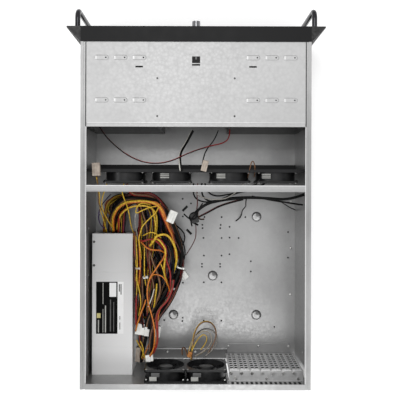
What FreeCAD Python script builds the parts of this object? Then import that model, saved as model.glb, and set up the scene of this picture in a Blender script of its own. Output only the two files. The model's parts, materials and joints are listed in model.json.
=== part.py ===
"""Empty 4U rackmount server case with its drop-down front door, fans, power supply and harness.

Axes: front towards -Y, rear towards +Y, up +Z.  The origin is under the middle of the whole
part, handles included, on the plane that the floor rests on.  Lengths are millimetres.
"""
import FreeCAD
import Part
import math
import os
import re

import Sketcher

V = FreeCAD.Vector
doc = FreeCAD.newDocument("server_case")

# ---------------------------------------------------------------- driving dimensions
DIMENSIONS = {
    "sheet": 1.2,            # folded steel of the case
    "half_width": 215.0,     # case body, half of 430
    "depth": 648.0,          # case body, front frame and handles not counted
    "height": 176.0,         # four rack units
    "case_front": -289.5,    # where the steel body meets the black front frame
    "lip_width": 10.0,       # side lips that carry the top cover
    "lip_step": 5.2,         # width of the raised outer band of a lip
    "frame_depth": 29.0,     # black front frame
    "door_gap": 4.0,         # from the front face back to the frame's own face
    "rack_half": 241.3,      # 19 inch flange, half of 482.6
    "rack_holes": 232.55,    # half of the 465.1 between the flange slots
    "slot_rise": 50.8,       # flange slots above and below mid height
    "ear_plate": 3.0,
    "handle_x": 223.4,
    "handle_reach": 40.0,
    "handle_radius": 5.0,
    "handle_half": 72.0,     # arms above and below mid height
    "door_sheet": 1.8,
    "door_half": 211.0,
    "door_bottom": 8.0,
    "door_top": 171.0,
    "lock_height": 156.0,
    "cover_depth": 158.0,    # drive bay cover plate
    "cover_half": 204.6,
    "step_back": 150.4,      # joggle along the plate's rear edge
    "cage_inner": 66.4,
    "cage_outer": 213.6,
    "cage_sheet": 1.0,
    "cage_rear": 156.0,
    "brace_front": 267.4,
    "brace_width": 12.0,
    "wall_front": 236.0,     # fan wall, front face
    "wall_top": 140.0,
    "fan_size": 80.0,
    "fan_deep": 25.0,
    "fan_bore": 38.0,
    "fan_height": 96.0,      # axis of the middle fans
    "rotor_radius": 36.6,
    "rear_fan_height": 101.0,
    "slot_pitch": 20.32,
    "slot_first": -75.9,     # middle of the expansion slot nearest the middle of the case
    "slot_plane": 626.4,     # face that the slot covers lie against
    "slot_ledge": 126.0,     # top of the ledge that their tabs are screwed to
    "psu_inner": 126.0,
    "psu_outer": 207.0,
    "psu_front": 363.8,
    "psu_top": 89.2,
    "psu_sheet": 1.0,
    "psu_fan_x": 158.0,
    "psu_fan_height": 56.0,
    "psu_fan_size": 56.0,
    "psu_fan_bore": 26.0,
    "psu_rotor_radius": 24.8,
}
sheet = doc.addObject("Spreadsheet::Sheet", "Dims")
for row, (alias, value) in enumerate(DIMENSIONS.items(), start=1):
    sheet.set(f"A{row}", alias)
    sheet.set(f"B{row}", str(value))
    sheet.setAlias(f"B{row}", alias)
doc.recompute()


def size(name):
    """Read one driving dimension back from the sheet."""
    return float(sheet.get(name))


def bound(text):
    """Turn dimension names in an expression into references to the sheet."""
    return re.sub(r"[a-z]\w+", lambda word: "Dims." + word.group(), str(text))


# ---------------------------------------------------------------- building blocks
def box(label, corner, sides):
    """A block from its lowest corner and its three sides, each an expression."""
    block = doc.addObject("Part::Box", label)
    for name, text in zip(("Length", "Width", "Height"), sides):
        block.setExpression(name, bound(text))
    for name, text in zip("xyz", corner):
        block.setExpression("Placement.Base." + name, bound(text))
    return block


def rod(label, base, radius, length, axis="z"):
    """A round rod that starts at base and runs along +X, +Y or +Z."""
    turn = {"x": (0, 1, 0, 90), "y": (1, 0, 0, -90), "z": (0, 0, 1, 0)}[axis]
    piece = doc.addObject("Part::Cylinder", label)
    piece.Placement.Rotation = FreeCAD.Rotation(V(*turn[:3]), turn[3])
    piece.setExpression("Radius", bound(radius))
    piece.setExpression("Height", bound(length))
    for name, text in zip("xyz", base):
        piece.setExpression("Placement.Base." + name, bound(text))
    return piece


def joined(label, pieces):
    """Several solids as one object."""
    union = doc.addObject("Part::MultiFuse", label)
    union.Shapes = pieces
    return union


def cut(label, base, tools):
    """The base less one tool or a list of tools."""
    tool = tools[0] if len(tools) == 1 else joined(label + "_tools", tools)
    rest = doc.addObject("Part::Cut", label)
    rest.Base = base
    rest.Tool = tool
    return rest


def sketch_on(body, label, role, offset):
    """An empty sketch on one origin plane of its own body, moved along the plane's normal."""
    plane = [item for item in body.Origin.OriginFeatures if item.Role == role][0]
    sketch = body.newObject("Sketcher::SketchObject", label)
    sketch.AttachmentSupport = [(plane, "")]
    sketch.MapMode = "FlatFace"
    sketch.setExpression("AttachmentOffset.Base.z", bound(offset))
    return sketch


def pin_point(sketch, index, where, start, across, up):
    """Tie one sketch point to the origin with two bound distances."""
    for kind, text, guess in (("DistanceX", across, start[0]), ("DistanceY", up, start[1])):
        number = sketch.addConstraint(
            Sketcher.Constraint(kind, -1, 1, index, where, float(guess)))
        sketch.setExpression(f"Constraints[{number}]", bound(text))


def outline(sketch, points):
    """A closed run of straight edges through points given as pairs of expressions."""
    first = sketch.GeometryCount
    count = len(points)
    turn = 2 * math.pi / count
    rough = [(50 * math.cos(turn * i), 50 * math.sin(turn * i)) for i in range(count)]
    for i in range(count):
        sketch.addGeometry(Part.LineSegment(V(*rough[i], 0), V(*rough[(i + 1) % count], 0)))
    for i in range(count):
        after = first + (i + 1) % count
        sketch.addConstraint(Sketcher.Constraint("Coincident", first + i, 2, after, 1))
    for i, (across, up) in enumerate(points):
        pin_point(sketch, first + i, 1, rough[i], across, up)


def frame_outline(sketch, left, low, right, high):
    """A rectangle from its four edges."""
    outline(sketch, [(left, low), (right, low), (right, high), (left, high)])


def ring(sketch, across, up, radius):
    """A circle with a bound centre and radius."""
    number = sketch.addGeometry(Part.Circle(V(0, 0, 0), V(0, 0, 1), 3))
    pin_point(sketch, number, 3, (0, 0), across, up)
    limit = sketch.addConstraint(Sketcher.Constraint("Radius", number, 3.0))
    sketch.setExpression(f"Constraints[{limit}]", bound(radius))


def pad(body, sketch, length, backwards=False, both=False):
    """Push a sketch out into a solid."""
    solid = body.newObject("PartDesign::Pad", sketch.Label + "_pad")
    solid.Profile = sketch
    solid.setExpression("Length", bound(length))
    solid.Reversed = backwards
    if both:
        solid.SideType = "Symmetric"
    doc.recompute()
    return solid


def pocket(body, sketch):
    """Cut a sketch through the whole body both ways, and make sure that it did cut."""
    before = body.Shape.Volume
    hollow = body.newObject("PartDesign::Pocket", sketch.Label + "_pocket")
    hollow.Profile = sketch
    hollow.Type = "ThroughAll"
    hollow.SideType = "Symmetric"
    doc.recompute()
    if not body.Shape.Volume < before - 0.01:
        raise RuntimeError(sketch.Label + " cuts nothing")
    return hollow


def new_body(label):
    """An empty PartDesign body."""
    return doc.addObject("PartDesign::Body", label)


def repeated(body, feature, sketch, pitch, count):
    """Repeat a cut along its sketch's own first axis."""
    row = body.newObject("PartDesign::LinearPattern", feature.Label + "_row")
    row.Originals = [feature]
    row.Direction = (sketch, ["H_Axis"])
    row.setExpression("Length", bound(f"({pitch}) * {count - 1}"))
    row.Occurrences = count
    body.Tip = row
    before = feature.Shape.Volume
    doc.recompute()
    if not body.Shape.Volume < before - 0.01:
        raise RuntimeError(feature.Label + " is not repeated")


# ---------------------------------------------------------------- case sheet
# Floor, side walls and the stepped lips along the top are one folded sheet.
# Seen from the front it is a wide U, drawn once and pushed back the whole depth.
def case_sheet():
    body = new_body("case_sheet")
    profile = sketch_on(body, "case_profile", "XZ_Plane", "-case_front")
    right = [
        ("half_width", "0"),
        ("half_width", "height"),
        ("half_width - lip_step", "height"),
        ("half_width - lip_step", "height - sheet"),
        ("half_width - lip_width", "height - sheet"),
        ("half_width - lip_width", "height - 2 * sheet"),
        ("half_width - lip_step + sheet", "height - 2 * sheet"),
        ("half_width - lip_step + sheet", "height - sheet"),
        ("half_width - sheet", "height - sheet"),
        ("half_width - sheet", "sheet"),
    ]
    left = [(f"-({across})", up) for across, up in reversed(right)]
    outline(profile, right + left)
    pad(body, profile, "depth", backwards=True)
    return body


# Round holes in the floor, as distance to the left of the middle and distance back.
BOARD_HOLES = [
    (28, 295), (10, 305), (-19, 334), (-56, 334), (-107, 334), (27.5, 333), (-15, 358),
    (-53, 358), (-73, 355), (-92.5, 379), (-17, 379), (-56, 379), (-18, 417), (-56, 417),
    (-73, 414), (-119, 429), (-14, 441), (-53, 441), (-119, 451), (-18, 474.5),
    (-56, 474.5), (27, 475.6), (-199, 366), (-199, 421), (-170, 570), (-18, 557),
    (-56, 557), (27.5, 551), (-119, 609), (67, 556),
]
BOSSES = [(-131, 333), (-37, 460), (-131, 544), (47, 544)]
RAIL_HOLES = [60, 353, 446, 478, 600]


def chassis_shell():
    body = case_sheet()
    floor = sketch_on(body, "floor_holes", "XY_Plane", "0")
    for across, back in BOARD_HOLES:
        ring(floor, str(across), f"case_front + {back}", "1.9")
    pocket(body, floor)

    rails = sketch_on(body, "rail_holes", "YZ_Plane", "0")
    for back in RAIL_HOLES:
        ring(rails, f"case_front + {back}", "94", "2.3")
    pocket(body, rails)

    domes = []
    hollows = []
    for number, (across, back) in enumerate(BOSSES, start=1):
        dome = doc.addObject("Part::Cone", f"boss_{number}")
        hollow = doc.addObject("Part::Cone", f"boss_hollow_{number}")
        for cone, inset, low in ((dome, "0", "sheet"), (hollow, "sheet", "0")):
            cone.setExpression("Radius1", bound(f"10.5 - {inset}"))
            cone.setExpression("Radius2", bound(f"8 - {inset}"))
            cone.setExpression("Height", "4")
            cone.setExpression("Placement.Base.x", bound(across))
            cone.setExpression("Placement.Base.y", bound(f"case_front + {back}"))
            cone.setExpression("Placement.Base.z", bound(low))
        domes.append(dome)
        hollows.append(hollow)
        hollows.append(rod(f"boss_hole_{number}", (across, f"case_front + {back}", "0"),
                           "2.2", "8"))
    slots = []
    for number, (across, back, turn) in enumerate(((23, 316, 45), (14, 366, -45)), start=1):
        slot = doc.addObject("Part::Box", f"floor_slot_{number}")
        slot.setExpression("Length", "15")
        slot.setExpression("Width", "5")
        slot.setExpression("Height", "4")
        radians = math.radians(turn)
        lead_x = -7.5 * math.cos(radians) + 2.5 * math.sin(radians)
        lead_y = -7.5 * math.sin(radians) - 2.5 * math.cos(radians)
        slot.Placement.Rotation = FreeCAD.Rotation(V(0, 0, 1), turn)
        slot.setExpression("Placement.Base.x", bound(f"{across + lead_x}"))
        slot.setExpression("Placement.Base.y", bound(f"case_front + {back + lead_y}"))
        slot.setExpression("Placement.Base.z", "-1")
        slots.append(slot)
    return cut("chassis_shell", joined("shell_and_bosses", [body] + domes), hollows + slots)


# ---------------------------------------------------------------- rear panel
# An upright sheet between the side walls with a lip folded forward along its top.
# It is open for the board's sockets, the slot frame and the power supply.
FAN_SPOTS_REAR = (58.6, -21.4)


def rear_panel():
    body = new_body("rear_sheet")
    wall = sketch_on(body, "wall_profile", "XZ_Plane", "-(case_front + depth - sheet)")
    side = "half_width - sheet"
    neck = "half_width - lip_width - 0.3"
    outline(wall, [
        (f"-({side})", "sheet"), (side, "sheet"), (side, "height - 2 * sheet"),
        (neck, "height - 2 * sheet"), (neck, "height"), (f"-({neck})", "height"),
        (f"-({neck})", "height - 2 * sheet"), (f"-({side})", "height - 2 * sheet"),
    ])
    pad(body, wall, "sheet", backwards=True)
    lip = sketch_on(body, "lip_profile", "XZ_Plane", "-(case_front + depth - 10.4)")
    frame_outline(lip, f"-({neck})", "height - sheet", neck, "height")
    pad(body, lip, "10", backwards=True)

    openings = sketch_on(body, "rear_openings", "XZ_Plane", "-(case_front + depth - sheet)")
    frame_outline(openings, "-62", "10", "96.8", "54.5")
    frame_outline(openings, "psu_inner + 2", "6", "psu_outer - 2", "psu_top - 4")
    frame_outline(openings, "-209", "5", "-66", "slot_ledge - 1")
    pocket(body, openings)
    vents = sketch_on(body, "rear_vents", "XZ_Plane", "-(case_front + depth - sheet)")
    frame_outline(vents, "-203.5", "131", "-198.5", "149")
    repeated(body, pocket(body, vents), vents, "9.2", 15)

    slices = []
    for fan, across in enumerate(FAN_SPOTS_REAR, start=1):
        bars = [box(f"bar_{fan}_{turn}", (0, 0, 0), (80, 6, 4)) for turn in (0, 90)]
        for turn, bar in zip((45, 135), bars):
            half = FreeCAD.Rotation(V(0, 1, 0), turn)
            corner = half.multVec(V(-40, 0, -2))
            bar.Placement.Rotation = half
            bar.setExpression("Placement.Base.x", bound(f"{across + corner.x}"))
            bar.setExpression("Placement.Base.y", bound("case_front + depth - 4"))
            bar.setExpression("Placement.Base.z", bound(f"rear_fan_height + {corner.z}"))
        for step, (inner, outer) in enumerate(((12, 18), (21, 27), (30, 36.5)), start=1):
            middle = (across, "case_front + depth - 3", "rear_fan_height")
            name = f"grille_{fan}_{step}"
            disc = rod(name + "_disc", middle, outer, "6", "y")
            core = rod(name + "_core", middle, inner, "6", "y")
            slices.append(cut(name, disc, [core] + bars))
    return cut("rear_panel", body, slices)


# ---------------------------------------------------------------- expansion slots
# The slot frame stands in from the rear panel and carries seven blank covers, each a
# strip with a tab that is bent back over the ledge and held by one screw.
SLOTS = 7


def slot_frame():
    body = new_body("slot_frame")
    side = sketch_on(body, "slot_profile", "YZ_Plane", "-137.45")
    front = "case_front + slot_plane"
    back = "case_front + depth - sheet"
    outline(side, [
        (front, "sheet"), (f"{front} + sheet", "sheet"),
        (f"{front} + sheet", "slot_ledge - sheet"), (back, "slot_ledge - sheet"),
        (back, "slot_ledge"), (front, "slot_ledge"),
    ])
    pad(body, side, "144.5", both=True)
    openings = sketch_on(body, "slot_openings", "XZ_Plane", "-(case_front + slot_plane)")
    last = f"slot_first - {SLOTS - 1} * slot_pitch"
    frame_outline(openings, f"{last} - 6.5", "14", f"{last} + 6.5", "112")
    repeated(body, pocket(body, openings), openings, "slot_pitch", SLOTS)
    return body


def slot_cover(number):
    """One blank strip with its tab; two rows of vents let air through."""
    middle = f"slot_first - {number} * slot_pitch"
    strip = box(f"strip_{number}", (f"{middle} - 9.2", "case_front + slot_plane - 0.9", "7"),
                ("18.4", "0.9", "slot_ledge - 6.1"))
    tab = box(f"tab_{number}", (f"{middle} - 9.2", "case_front + slot_plane", "slot_ledge"),
              ("18.4", "11.5", "0.9"))
    vents = []
    for column in (-1, 1):
        for row in range(6):
            corner = (f"{middle} + {column * 2.6 - 1.7}", "case_front + slot_plane - 2",
                      str(20 + 15 * row))
            vents.append(box(f"vent_{number}_{column}_{row}", corner, ("3.4", "4", "11")))
    return cut(f"slot_cover_{number + 1}", joined(f"bent_{number}", [strip, tab]), vents)


def slot_screws():
    heads = []
    for number in range(SLOTS):
        spot = (f"slot_first - {number} * slot_pitch + 8.3 - 2", "case_front + 631.5",
                "slot_ledge + 0.9")
        heads.append(rod(f"slot_screw_{number}", spot, "2.9", "2"))
    for number, across in enumerate((-78, -139, -200)):
        spot = (across, "case_front + 642", "slot_ledge")
        heads.append(rod(f"frame_screw_{number}", spot, "2.6", "1.8"))
    return joined("slot_screws", heads)


# ---------------------------------------------------------------- drive bays
# A plate closes the top of the bays.  Under it hang two open cages for drives, each with
# slotted sides, a top flange under the plate and bars across the bottom.
EMBOSS_ROWS = (29.6, 108.8)
EMBOSS_COLUMNS = (106, 141, 176)


def emboss(label, across, back, half, below):
    """A long low bump with sloping flanks and round ends, its foot below the case's top."""
    foot = f"height - {below}"
    reach = 8.5
    ends = []
    for end in (-reach, reach):
        dome = doc.addObject("Part::Cone", f"{label}_end_{int(end)}")
        dome.Radius1 = half
        dome.Radius2 = half - 1.6
        dome.Height = 1
        for axis, place in zip("xyz", (across + end, f"case_front + {back}", foot)):
            dome.setExpression(f"Placement.Base.{axis}", bound(place))
        ends.append(dome)
    ridge = doc.addObject("Part::Wedge", label + "_ridge")
    for key, value in (("Xmin", 0), ("Xmax", 2 * reach), ("X2min", 0), ("X2max", 2 * reach),
                       ("Ymin", 0), ("Ymax", 1), ("Zmin", -half), ("Zmax", half),
                       ("Z2min", 1.6 - half), ("Z2max", half - 1.6)):
        setattr(ridge, key, value)
    ridge.Placement.Rotation = FreeCAD.Rotation(V(1, 0, 0), 90)
    for axis, place in zip("xyz", (across - reach, f"case_front + {back}", foot)):
        ridge.setExpression(f"Placement.Base.{axis}", bound(place))
    return joined(label, ends + [ridge])


def bay_cover():
    body = new_body("bay_plate")
    plate = sketch_on(body, "plate_outline", "XY_Plane", "height - 2 * sheet")
    frame_outline(plate, "-cover_half", "case_front", "cover_half",
                  "case_front + cover_depth")
    pad(body, plate, "sheet")
    holes = sketch_on(body, "plate_holes", "XY_Plane", "height - 2 * sheet")
    frame_outline(holes, "-7.5", "case_front + 45.5", "7.5", "case_front + 58")
    frame_outline(holes, "-7.5", "case_front + 60", "7.5", "case_front + 63.5")
    for side in (-1, 1):
        middle = side * 106
        frame_outline(holes, middle - 7, "case_front + 45", middle + 7, "case_front + 48")
        for back in (68, 138.5):
            ring(holes, str(side * 72), f"case_front + {back}", "1.8")
    pocket(body, holes)
    edge = box("plate_fold", ("-cover_half", "case_front + cover_depth - sheet",
                              "height - 11"), ("2 * cover_half", "sheet", "11 - 2 * sheet"))
    wings = [box(f"fold_gap_{side}", (side * 140 - 74.5, "case_front + cover_depth - 5",
                                      "height - 20"), ("149", "10", "12")) for side in (-1, 1)]
    step = box("plate_step", ("-cover_half", "case_front + step_back", "height - 2 * sheet - 0.9"),
               ("2 * cover_half", "cover_depth - step_back", "sheet"))
    above = box("step_above", ("-cover_half", "case_front + step_back + sheet", "height - sheet - 0.9"),
                ("2 * cover_half", "cover_depth", "4"))
    stepped = cut("stepped_plate", body, [above])
    plate_solid = joined("plate_and_fold", [stepped, step, cut("fold_strip", edge, wings)])
    spots = [(side, across, back) for side in (-1, 1) for back in EMBOSS_ROWS
             for across in EMBOSS_COLUMNS]
    bumps = [emboss(f"bump_{side}_{int(back)}_{across}", side * across, back, 5, "sheet")
             for side, across, back in spots]
    hollows = [emboss(f"hollow_{side}_{int(back)}_{across}", side * across, back, 4,
                      "2 * sheet") for side, across, back in spots]
    eyes = [rod(f"eye_{side}_{int(back)}_{across}",
                (side * across - 8, f"case_front + {back}", "height - 3 * sheet"), "1.4", "6")
            for side, across, back in spots]
    return cut("bay_cover", joined("embossed_plate", [plate_solid] + bumps), hollows + eyes)


def drive_cage(label, side):
    """One cage; side is +1 for the left bay as the case faces you from behind, -1 the other."""
    body = new_body(label + "_sheet")
    front = sketch_on(body, label + "_profile", "XZ_Plane", "-(case_front + 6)")
    low = "sheet"
    top = "height - 2 * sheet - 1"
    inner, outer = "cage_inner", "cage_outer"
    points = [
        (inner, low), (outer, low), (outer, top), (f"{outer} - 12", top),
        (f"{outer} - 12", f"{top} - cage_sheet"), (f"{outer} - cage_sheet", f"{top} - cage_sheet"),
        (f"{outer} - cage_sheet", f"{low} + cage_sheet"),
        (f"{inner} + cage_sheet", f"{low} + cage_sheet"),
        (f"{inner} + cage_sheet", f"{top} - cage_sheet"), (f"{inner} + 12", f"{top} - cage_sheet"),
        (f"{inner} + 12", top), (inner, top),
    ]
    if side < 0:
        points = [(f"-({across})", up) for across, up in reversed(points)]
    outline(front, points)
    pad(body, front, "cage_rear - 6", backwards=True)
    side_slots = sketch_on(body, label + "_side_slots", "YZ_Plane", "0")
    for low_edge in (22, 67, 112):
        frame_outline(side_slots, "case_front + 20", low_edge, "case_front + 50", low_edge + 5)
    repeated(body, pocket(body, side_slots), side_slots, "44", 3)
    base = sketch_on(body, label + "_base_gaps", "XY_Plane", "0")
    edges = ("cage_inner + 12", "cage_outer - 12")
    if side < 0:
        edges = ("-(cage_outer - 12)", "-(cage_inner + 12)")
    for column in range(2):
        start = 22 + 62 * column
        frame_outline(base, edges[0], f"case_front + {start}", edges[1],
                      f"case_front + {start + 44}")
    pocket(body, base)
    lead = "cage_inner" if side > 0 else "-cage_outer"
    shelves = []
    for level in (0, 1):
        for edge in (0, 1):
            across = "cage_sheet" if edge == 0 else "cage_outer - cage_inner - 9"
            corner = (f"{lead} + {across}", "case_front + 8", 38 + 52 * level)
            shelves.append(box(f"{label}_rail_{level}_{edge}", corner,
                               ("8", "cage_rear - 10", "1.5")))
    return joined(label, [body] + shelves)


def cross_brace():
    """A folded bar across the top, let in under the side lips."""
    body = new_body("brace_fold")
    side = sketch_on(body, "brace_profile", "YZ_Plane", "0")
    front = "case_front + brace_front"
    back = f"{front} + brace_width"
    top = "height - 2 * sheet"
    outline(side, [
        (front, f"{top} - 9"), (f"{front} + 1", f"{top} - 9"), (f"{front} + 1", f"{top} - 1"),
        (f"{back} - 1", f"{top} - 1"), (f"{back} - 1", f"{top} - 9"), (back, f"{top} - 9"),
        (back, top), (f"{back} - 5.5", top), (f"{back} - 5.5", f"{top} + 0.8"),
        (f"{front}", f"{top} + 0.8"),
    ])
    pad(body, side, "2 * half_width - 2 * lip_width - 0.6", both=True)
    feet = []
    for number, lead in enumerate(("half_width - lip_width - 4", "-(half_width - sheet)")):
        feet.append(box(f"brace_foot_{number}", (lead, f"{front} + 1", f"{top} - 5"),
                        ("2.8 + lip_width", "brace_width - 2", "5")))
    return joined("cross_brace", [body] + feet)


# ---------------------------------------------------------------- front
# A black frame closes the body's front.  The door folds down about two pins at its foot.
FACE = "case_front - frame_depth"
HINGE_BACK = "case_front - frame_depth + 0.9"
HINGE_HEIGHT = "door_bottom - 2"


def front_frame():
    body = new_body("front_box")
    walls = sketch_on(body, "frame_walls", "XZ_Plane", f"-({FACE} + door_gap)")
    frame_outline(walls, "-half_width", "0", "half_width", "height")
    frame_outline(walls, "-half_width + 1.5", "1.5", "half_width - 1.5", "height - 1.5")
    pad(body, walls, "frame_depth - door_gap", backwards=True)
    face = sketch_on(body, "frame_face", "XZ_Plane", f"-({FACE} + door_gap)")
    frame_outline(face, "-half_width", "0", "half_width", "height")
    frame_outline(face, "-190", "24", "190", "146")
    pad(body, face, "1.5", backwards=True)
    holes = sketch_on(body, "face_holes", "XZ_Plane", f"-({FACE} + door_gap)")
    ring(holes, "201", "120", "5.2")
    ring(holes, "201", "98", "3.2")
    frame_outline(holes, "-9", "lock_height - 7.6", "19", "lock_height + 9")
    pocket(body, holes)
    strips = [
        box("strip_top", ("-half_width", FACE, "door_top + 0.6"),
            ("2 * half_width", "door_gap", "height - door_top - 0.6")),
        box("strip_low", ("-half_width", FACE, "0"), ("2 * half_width", "door_gap", "2.2")),
        box("strip_left", ("door_half + 0.6", FACE, "0"),
            ("half_width - door_half - 0.6", "door_gap", "height")),
        box("strip_right", ("-half_width", FACE, "0"),
            ("half_width - door_half - 0.6", "door_gap", "height")),
    ]
    return joined("front_frame", [body] + strips)


def door_hinge_pins():
    """Two short pins that stand in from the frame's sides, on the door's axis."""
    pins = []
    for side, lead in (("left", "door_half - 7.4"), ("right", "-(door_half + 0.6)")):
        pins.append(rod("pin_" + side, (lead, HINGE_BACK, HINGE_HEIGHT), "1.2", "8", "x"))
    return joined("door_hinge_pins", pins)


def front_door():
    """A steel leaf with three rows of air slots and a knuckle at each end of its foot."""
    body = new_body("door_leaf")
    leaf = sketch_on(body, "leaf_outline", "XZ_Plane", f"-({FACE})")
    frame_outline(leaf, "-door_half", "door_bottom", "door_half", "door_top")
    pad(body, leaf, "door_sheet", backwards=True)
    keyhole = sketch_on(body, "door_keyhole", "XZ_Plane", f"-({FACE})")
    ring(keyhole, "0", "lock_height", "6")
    pocket(body, keyhole)
    air = sketch_on(body, "air_slots", "XZ_Plane", f"-({FACE})")
    for low in (26, 62, 98):
        frame_outline(air, "-176", low, "-166", low + 28)
    repeated(body, pocket(body, air), air, "22.8", 16)
    knuckles = []
    for side, lead in (("left", "door_half - 7.6"), ("right", "-door_half + 0.2")):
        spot = (lead, HINGE_BACK, HINGE_HEIGHT)
        outer = rod("knuckle_" + side, spot, "2.4", "7.4", "x")
        web = box("web_" + side, (lead, FACE, "door_bottom - 2"), ("7.4", "door_sheet", "3"))
        bore = rod("knuckle_bore_" + side, spot, "1.35", "7.4", "x")
        knuckles.append(cut("loop_" + side, joined("leaf_end_" + side, [outer, web]), [bore]))
    return joined("front_door", [body] + knuckles)


def lock_housing():
    """Turned collar in front of the door with a sleeve through it."""
    collar = rod("lock_collar", ("0", f"{FACE} - 13.6", "lock_height"), "7.8", "13.6", "y")
    sleeve = rod("lock_sleeve", ("0", FACE, "lock_height"), "6", "5.2", "y")
    bore = rod("lock_bore", ("0", f"{FACE} - 15", "lock_height"), "5.1", "30", "y")
    return cut("lock_housing", joined("lock_outside", [collar, sleeve]), [bore])


def lock_barrel():
    """The key barrel and, on its inner end, the cam that catches behind the frame."""
    barrel = rod("barrel_core", ("0", f"{FACE} - 13", "lock_height"), "5", "18.7", "y")
    key_slot = box("key_slot", ("-0.6", f"{FACE} - 14", "lock_height - 3"), ("1.2", "6", "6"))
    cam = box("cam", ("-4", f"{FACE} + 5.7", "lock_height - 4"), ("18.5", "1.6", "8"))
    return joined("lock_barrel", [cut("keyed_barrel", barrel, [key_slot]), cam])


def push_button(label, height, radius):
    """A cap through the frame's face with a collar behind it."""
    cap = rod(label + "_cap", ("201", f"{FACE} + 2.6", height), radius, "8", "y")
    collar = rod(label + "_collar", ("201", f"{FACE} + door_gap + 1.5", height),
                 f"{radius} + 1.6", "1.5", "y")
    return joined(label, [cap, collar])


# ---------------------------------------------------------------- rack ears and handles
def ear(label, side):
    """An angle with a slotted flange, stiffened at both ends by a three cornered web."""
    body = new_body(label + "_angle")
    plan = sketch_on(body, label + "_plan", "XY_Plane", "0")
    points = [("half_width", FACE), ("rack_half", FACE), ("rack_half", f"{FACE} + ear_plate"),
              ("half_width + 2", f"{FACE} + ear_plate"), ("half_width + 2", "case_front"),
              ("half_width", "case_front")]
    web = [("half_width", FACE), ("rack_half", FACE), ("rack_half", f"{FACE} + 2"),
           ("half_width", "case_front")]
    if side < 0:
        points = [(f"-({across})", back) for across, back in reversed(points)]
        web = [(f"-({across})", back) for across, back in reversed(web)]
    outline(plan, points)
    pad(body, plan, "height")
    for end, level in (("low", "0"), ("top", "height - 2.5")):
        corner = sketch_on(body, f"{label}_{end}_web", "XY_Plane", level)
        outline(corner, web)
        pad(body, corner, "2.5")
    slots = []
    lead = "rack_holes" if side > 0 else "-rack_holes"
    for level, sign in (("low", "-"), ("top", "+")):
        height = f"height / 2 {sign} slot_rise"
        name = f"{label}_slot_{level}"
        ends = [rod(f"{name}_{end}", (f"{lead} + {end}", f"{FACE} - 1", height), "3.4", "8", "y")
                for end in (-1.6, 1.6)]
        middle = box(name + "_middle", (f"{lead} - 1.6", f"{FACE} - 1", f"{height} - 3.4"),
                     ("3.2", "8", "6.8"))
        slots.append(joined(name, ends + [middle]))
    return cut(label, body, slots)


def handle(label, side):
    """A round bar bent twice, with a foot washer at each end."""
    across = f"{side} * handle_x"
    grip = f"{FACE} - handle_reach + handle_radius"
    bend = 16
    parts = []
    for end, sign, first, second in (
            ("top", 1, V(0, 0, 1), V(0, -1, 0)), ("low", -1, V(0, -1, 0), V(0, 0, -1))):
        level = f"height / 2 + {sign} * handle_half"
        arm = rod(f"{label}_arm_{end}", (across, f"{grip} + {bend}", level), "handle_radius",
                  f"handle_reach - handle_radius - {bend}", "y")
        foot = rod(f"{label}_foot_{end}", (across, f"{FACE} - 2", level), "handle_radius + 2",
                   "2", "y")
        corner = doc.addObject("Part::Torus", f"{label}_bend_{end}")
        corner.Radius1 = bend
        corner.setExpression("Radius2", bound("handle_radius"))
        corner.Angle3 = 90
        corner.Placement.Rotation = FreeCAD.Rotation(first, second, V(1, 0, 0), "XYZ")
        corner.setExpression("Placement.Base.x", bound(across))
        corner.setExpression("Placement.Base.y", bound(f"{grip} + {bend}"))
        corner.setExpression("Placement.Base.z", bound(f"{level} - {sign * bend}"))
        parts += [arm, foot, corner]
    length = f"2 * handle_half - {2 * bend}"
    parts.append(rod(label + "_grip", (across, grip, f"height / 2 - handle_half + {bend}"),
                     "handle_radius", length))
    return joined(label, parts)


# ---------------------------------------------------------------- fans
# Each fan is a square frame with a round duct between two flanges and a hub carried by
# four struts at the outlet, and a rotor whose short shaft turns in that hub.
MID_FANS = (139.0, 47.5, -66.0, -158.0)
BLADES = 7


def fan_frame(label, across, back, height, side, deep, bore):
    """back is the inlet face; the air leaves towards +Y."""
    half = f"({side}) / 2"
    corner = f"{across} - {half}"
    flanges = [
        box(label + "_inlet", (corner, back, f"{height} - {half}"), (side, "3.5", side)),
        box(label + "_outlet", (corner, f"{back} + {deep} - 3.5", f"{height} - {half}"),
            (side, "3.5", side)),
    ]
    duct = rod(label + "_duct", (across, back, height), f"{bore} + 1.7", deep, "y")
    hole = rod(label + "_hole", (across, back, height), bore, deep, "y")
    shell = cut(label + "_shell", joined(label + "_outside", flanges + [duct]), [hole])
    hub_back = f"{back} + {deep} - 3"
    hub = rod(label + "_hub", (across, hub_back, height), f"{bore} * 0.42", "3", "y")
    struts = [hub]
    for number in range(4):
        turn = 45 + 90 * number
        strut = doc.addObject("Part::Box", f"{label}_strut_{number}")
        strut.setExpression("Length", bound(f"{bore} + 0.8"))
        strut.setExpression("Width", "3")
        strut.setExpression("Height", "3")
        strut.Placement.Rotation = FreeCAD.Rotation(V(0, 1, 0), turn)
        lead = strut.Placement.Rotation.multVec(V(0, 0, -1.5))
        strut.setExpression("Placement.Base.x", bound(f"{across} + {lead.x}"))
        strut.setExpression("Placement.Base.y", bound(hub_back))
        strut.setExpression("Placement.Base.z", bound(f"{height} + {lead.z}"))
        struts.append(strut)
    bearing = rod(label + "_bearing", (across, f"{back} + 1", height), "1.56", deep, "y")
    return cut(label, joined(label + "_solid", [shell] + struts), [bearing])


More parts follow.
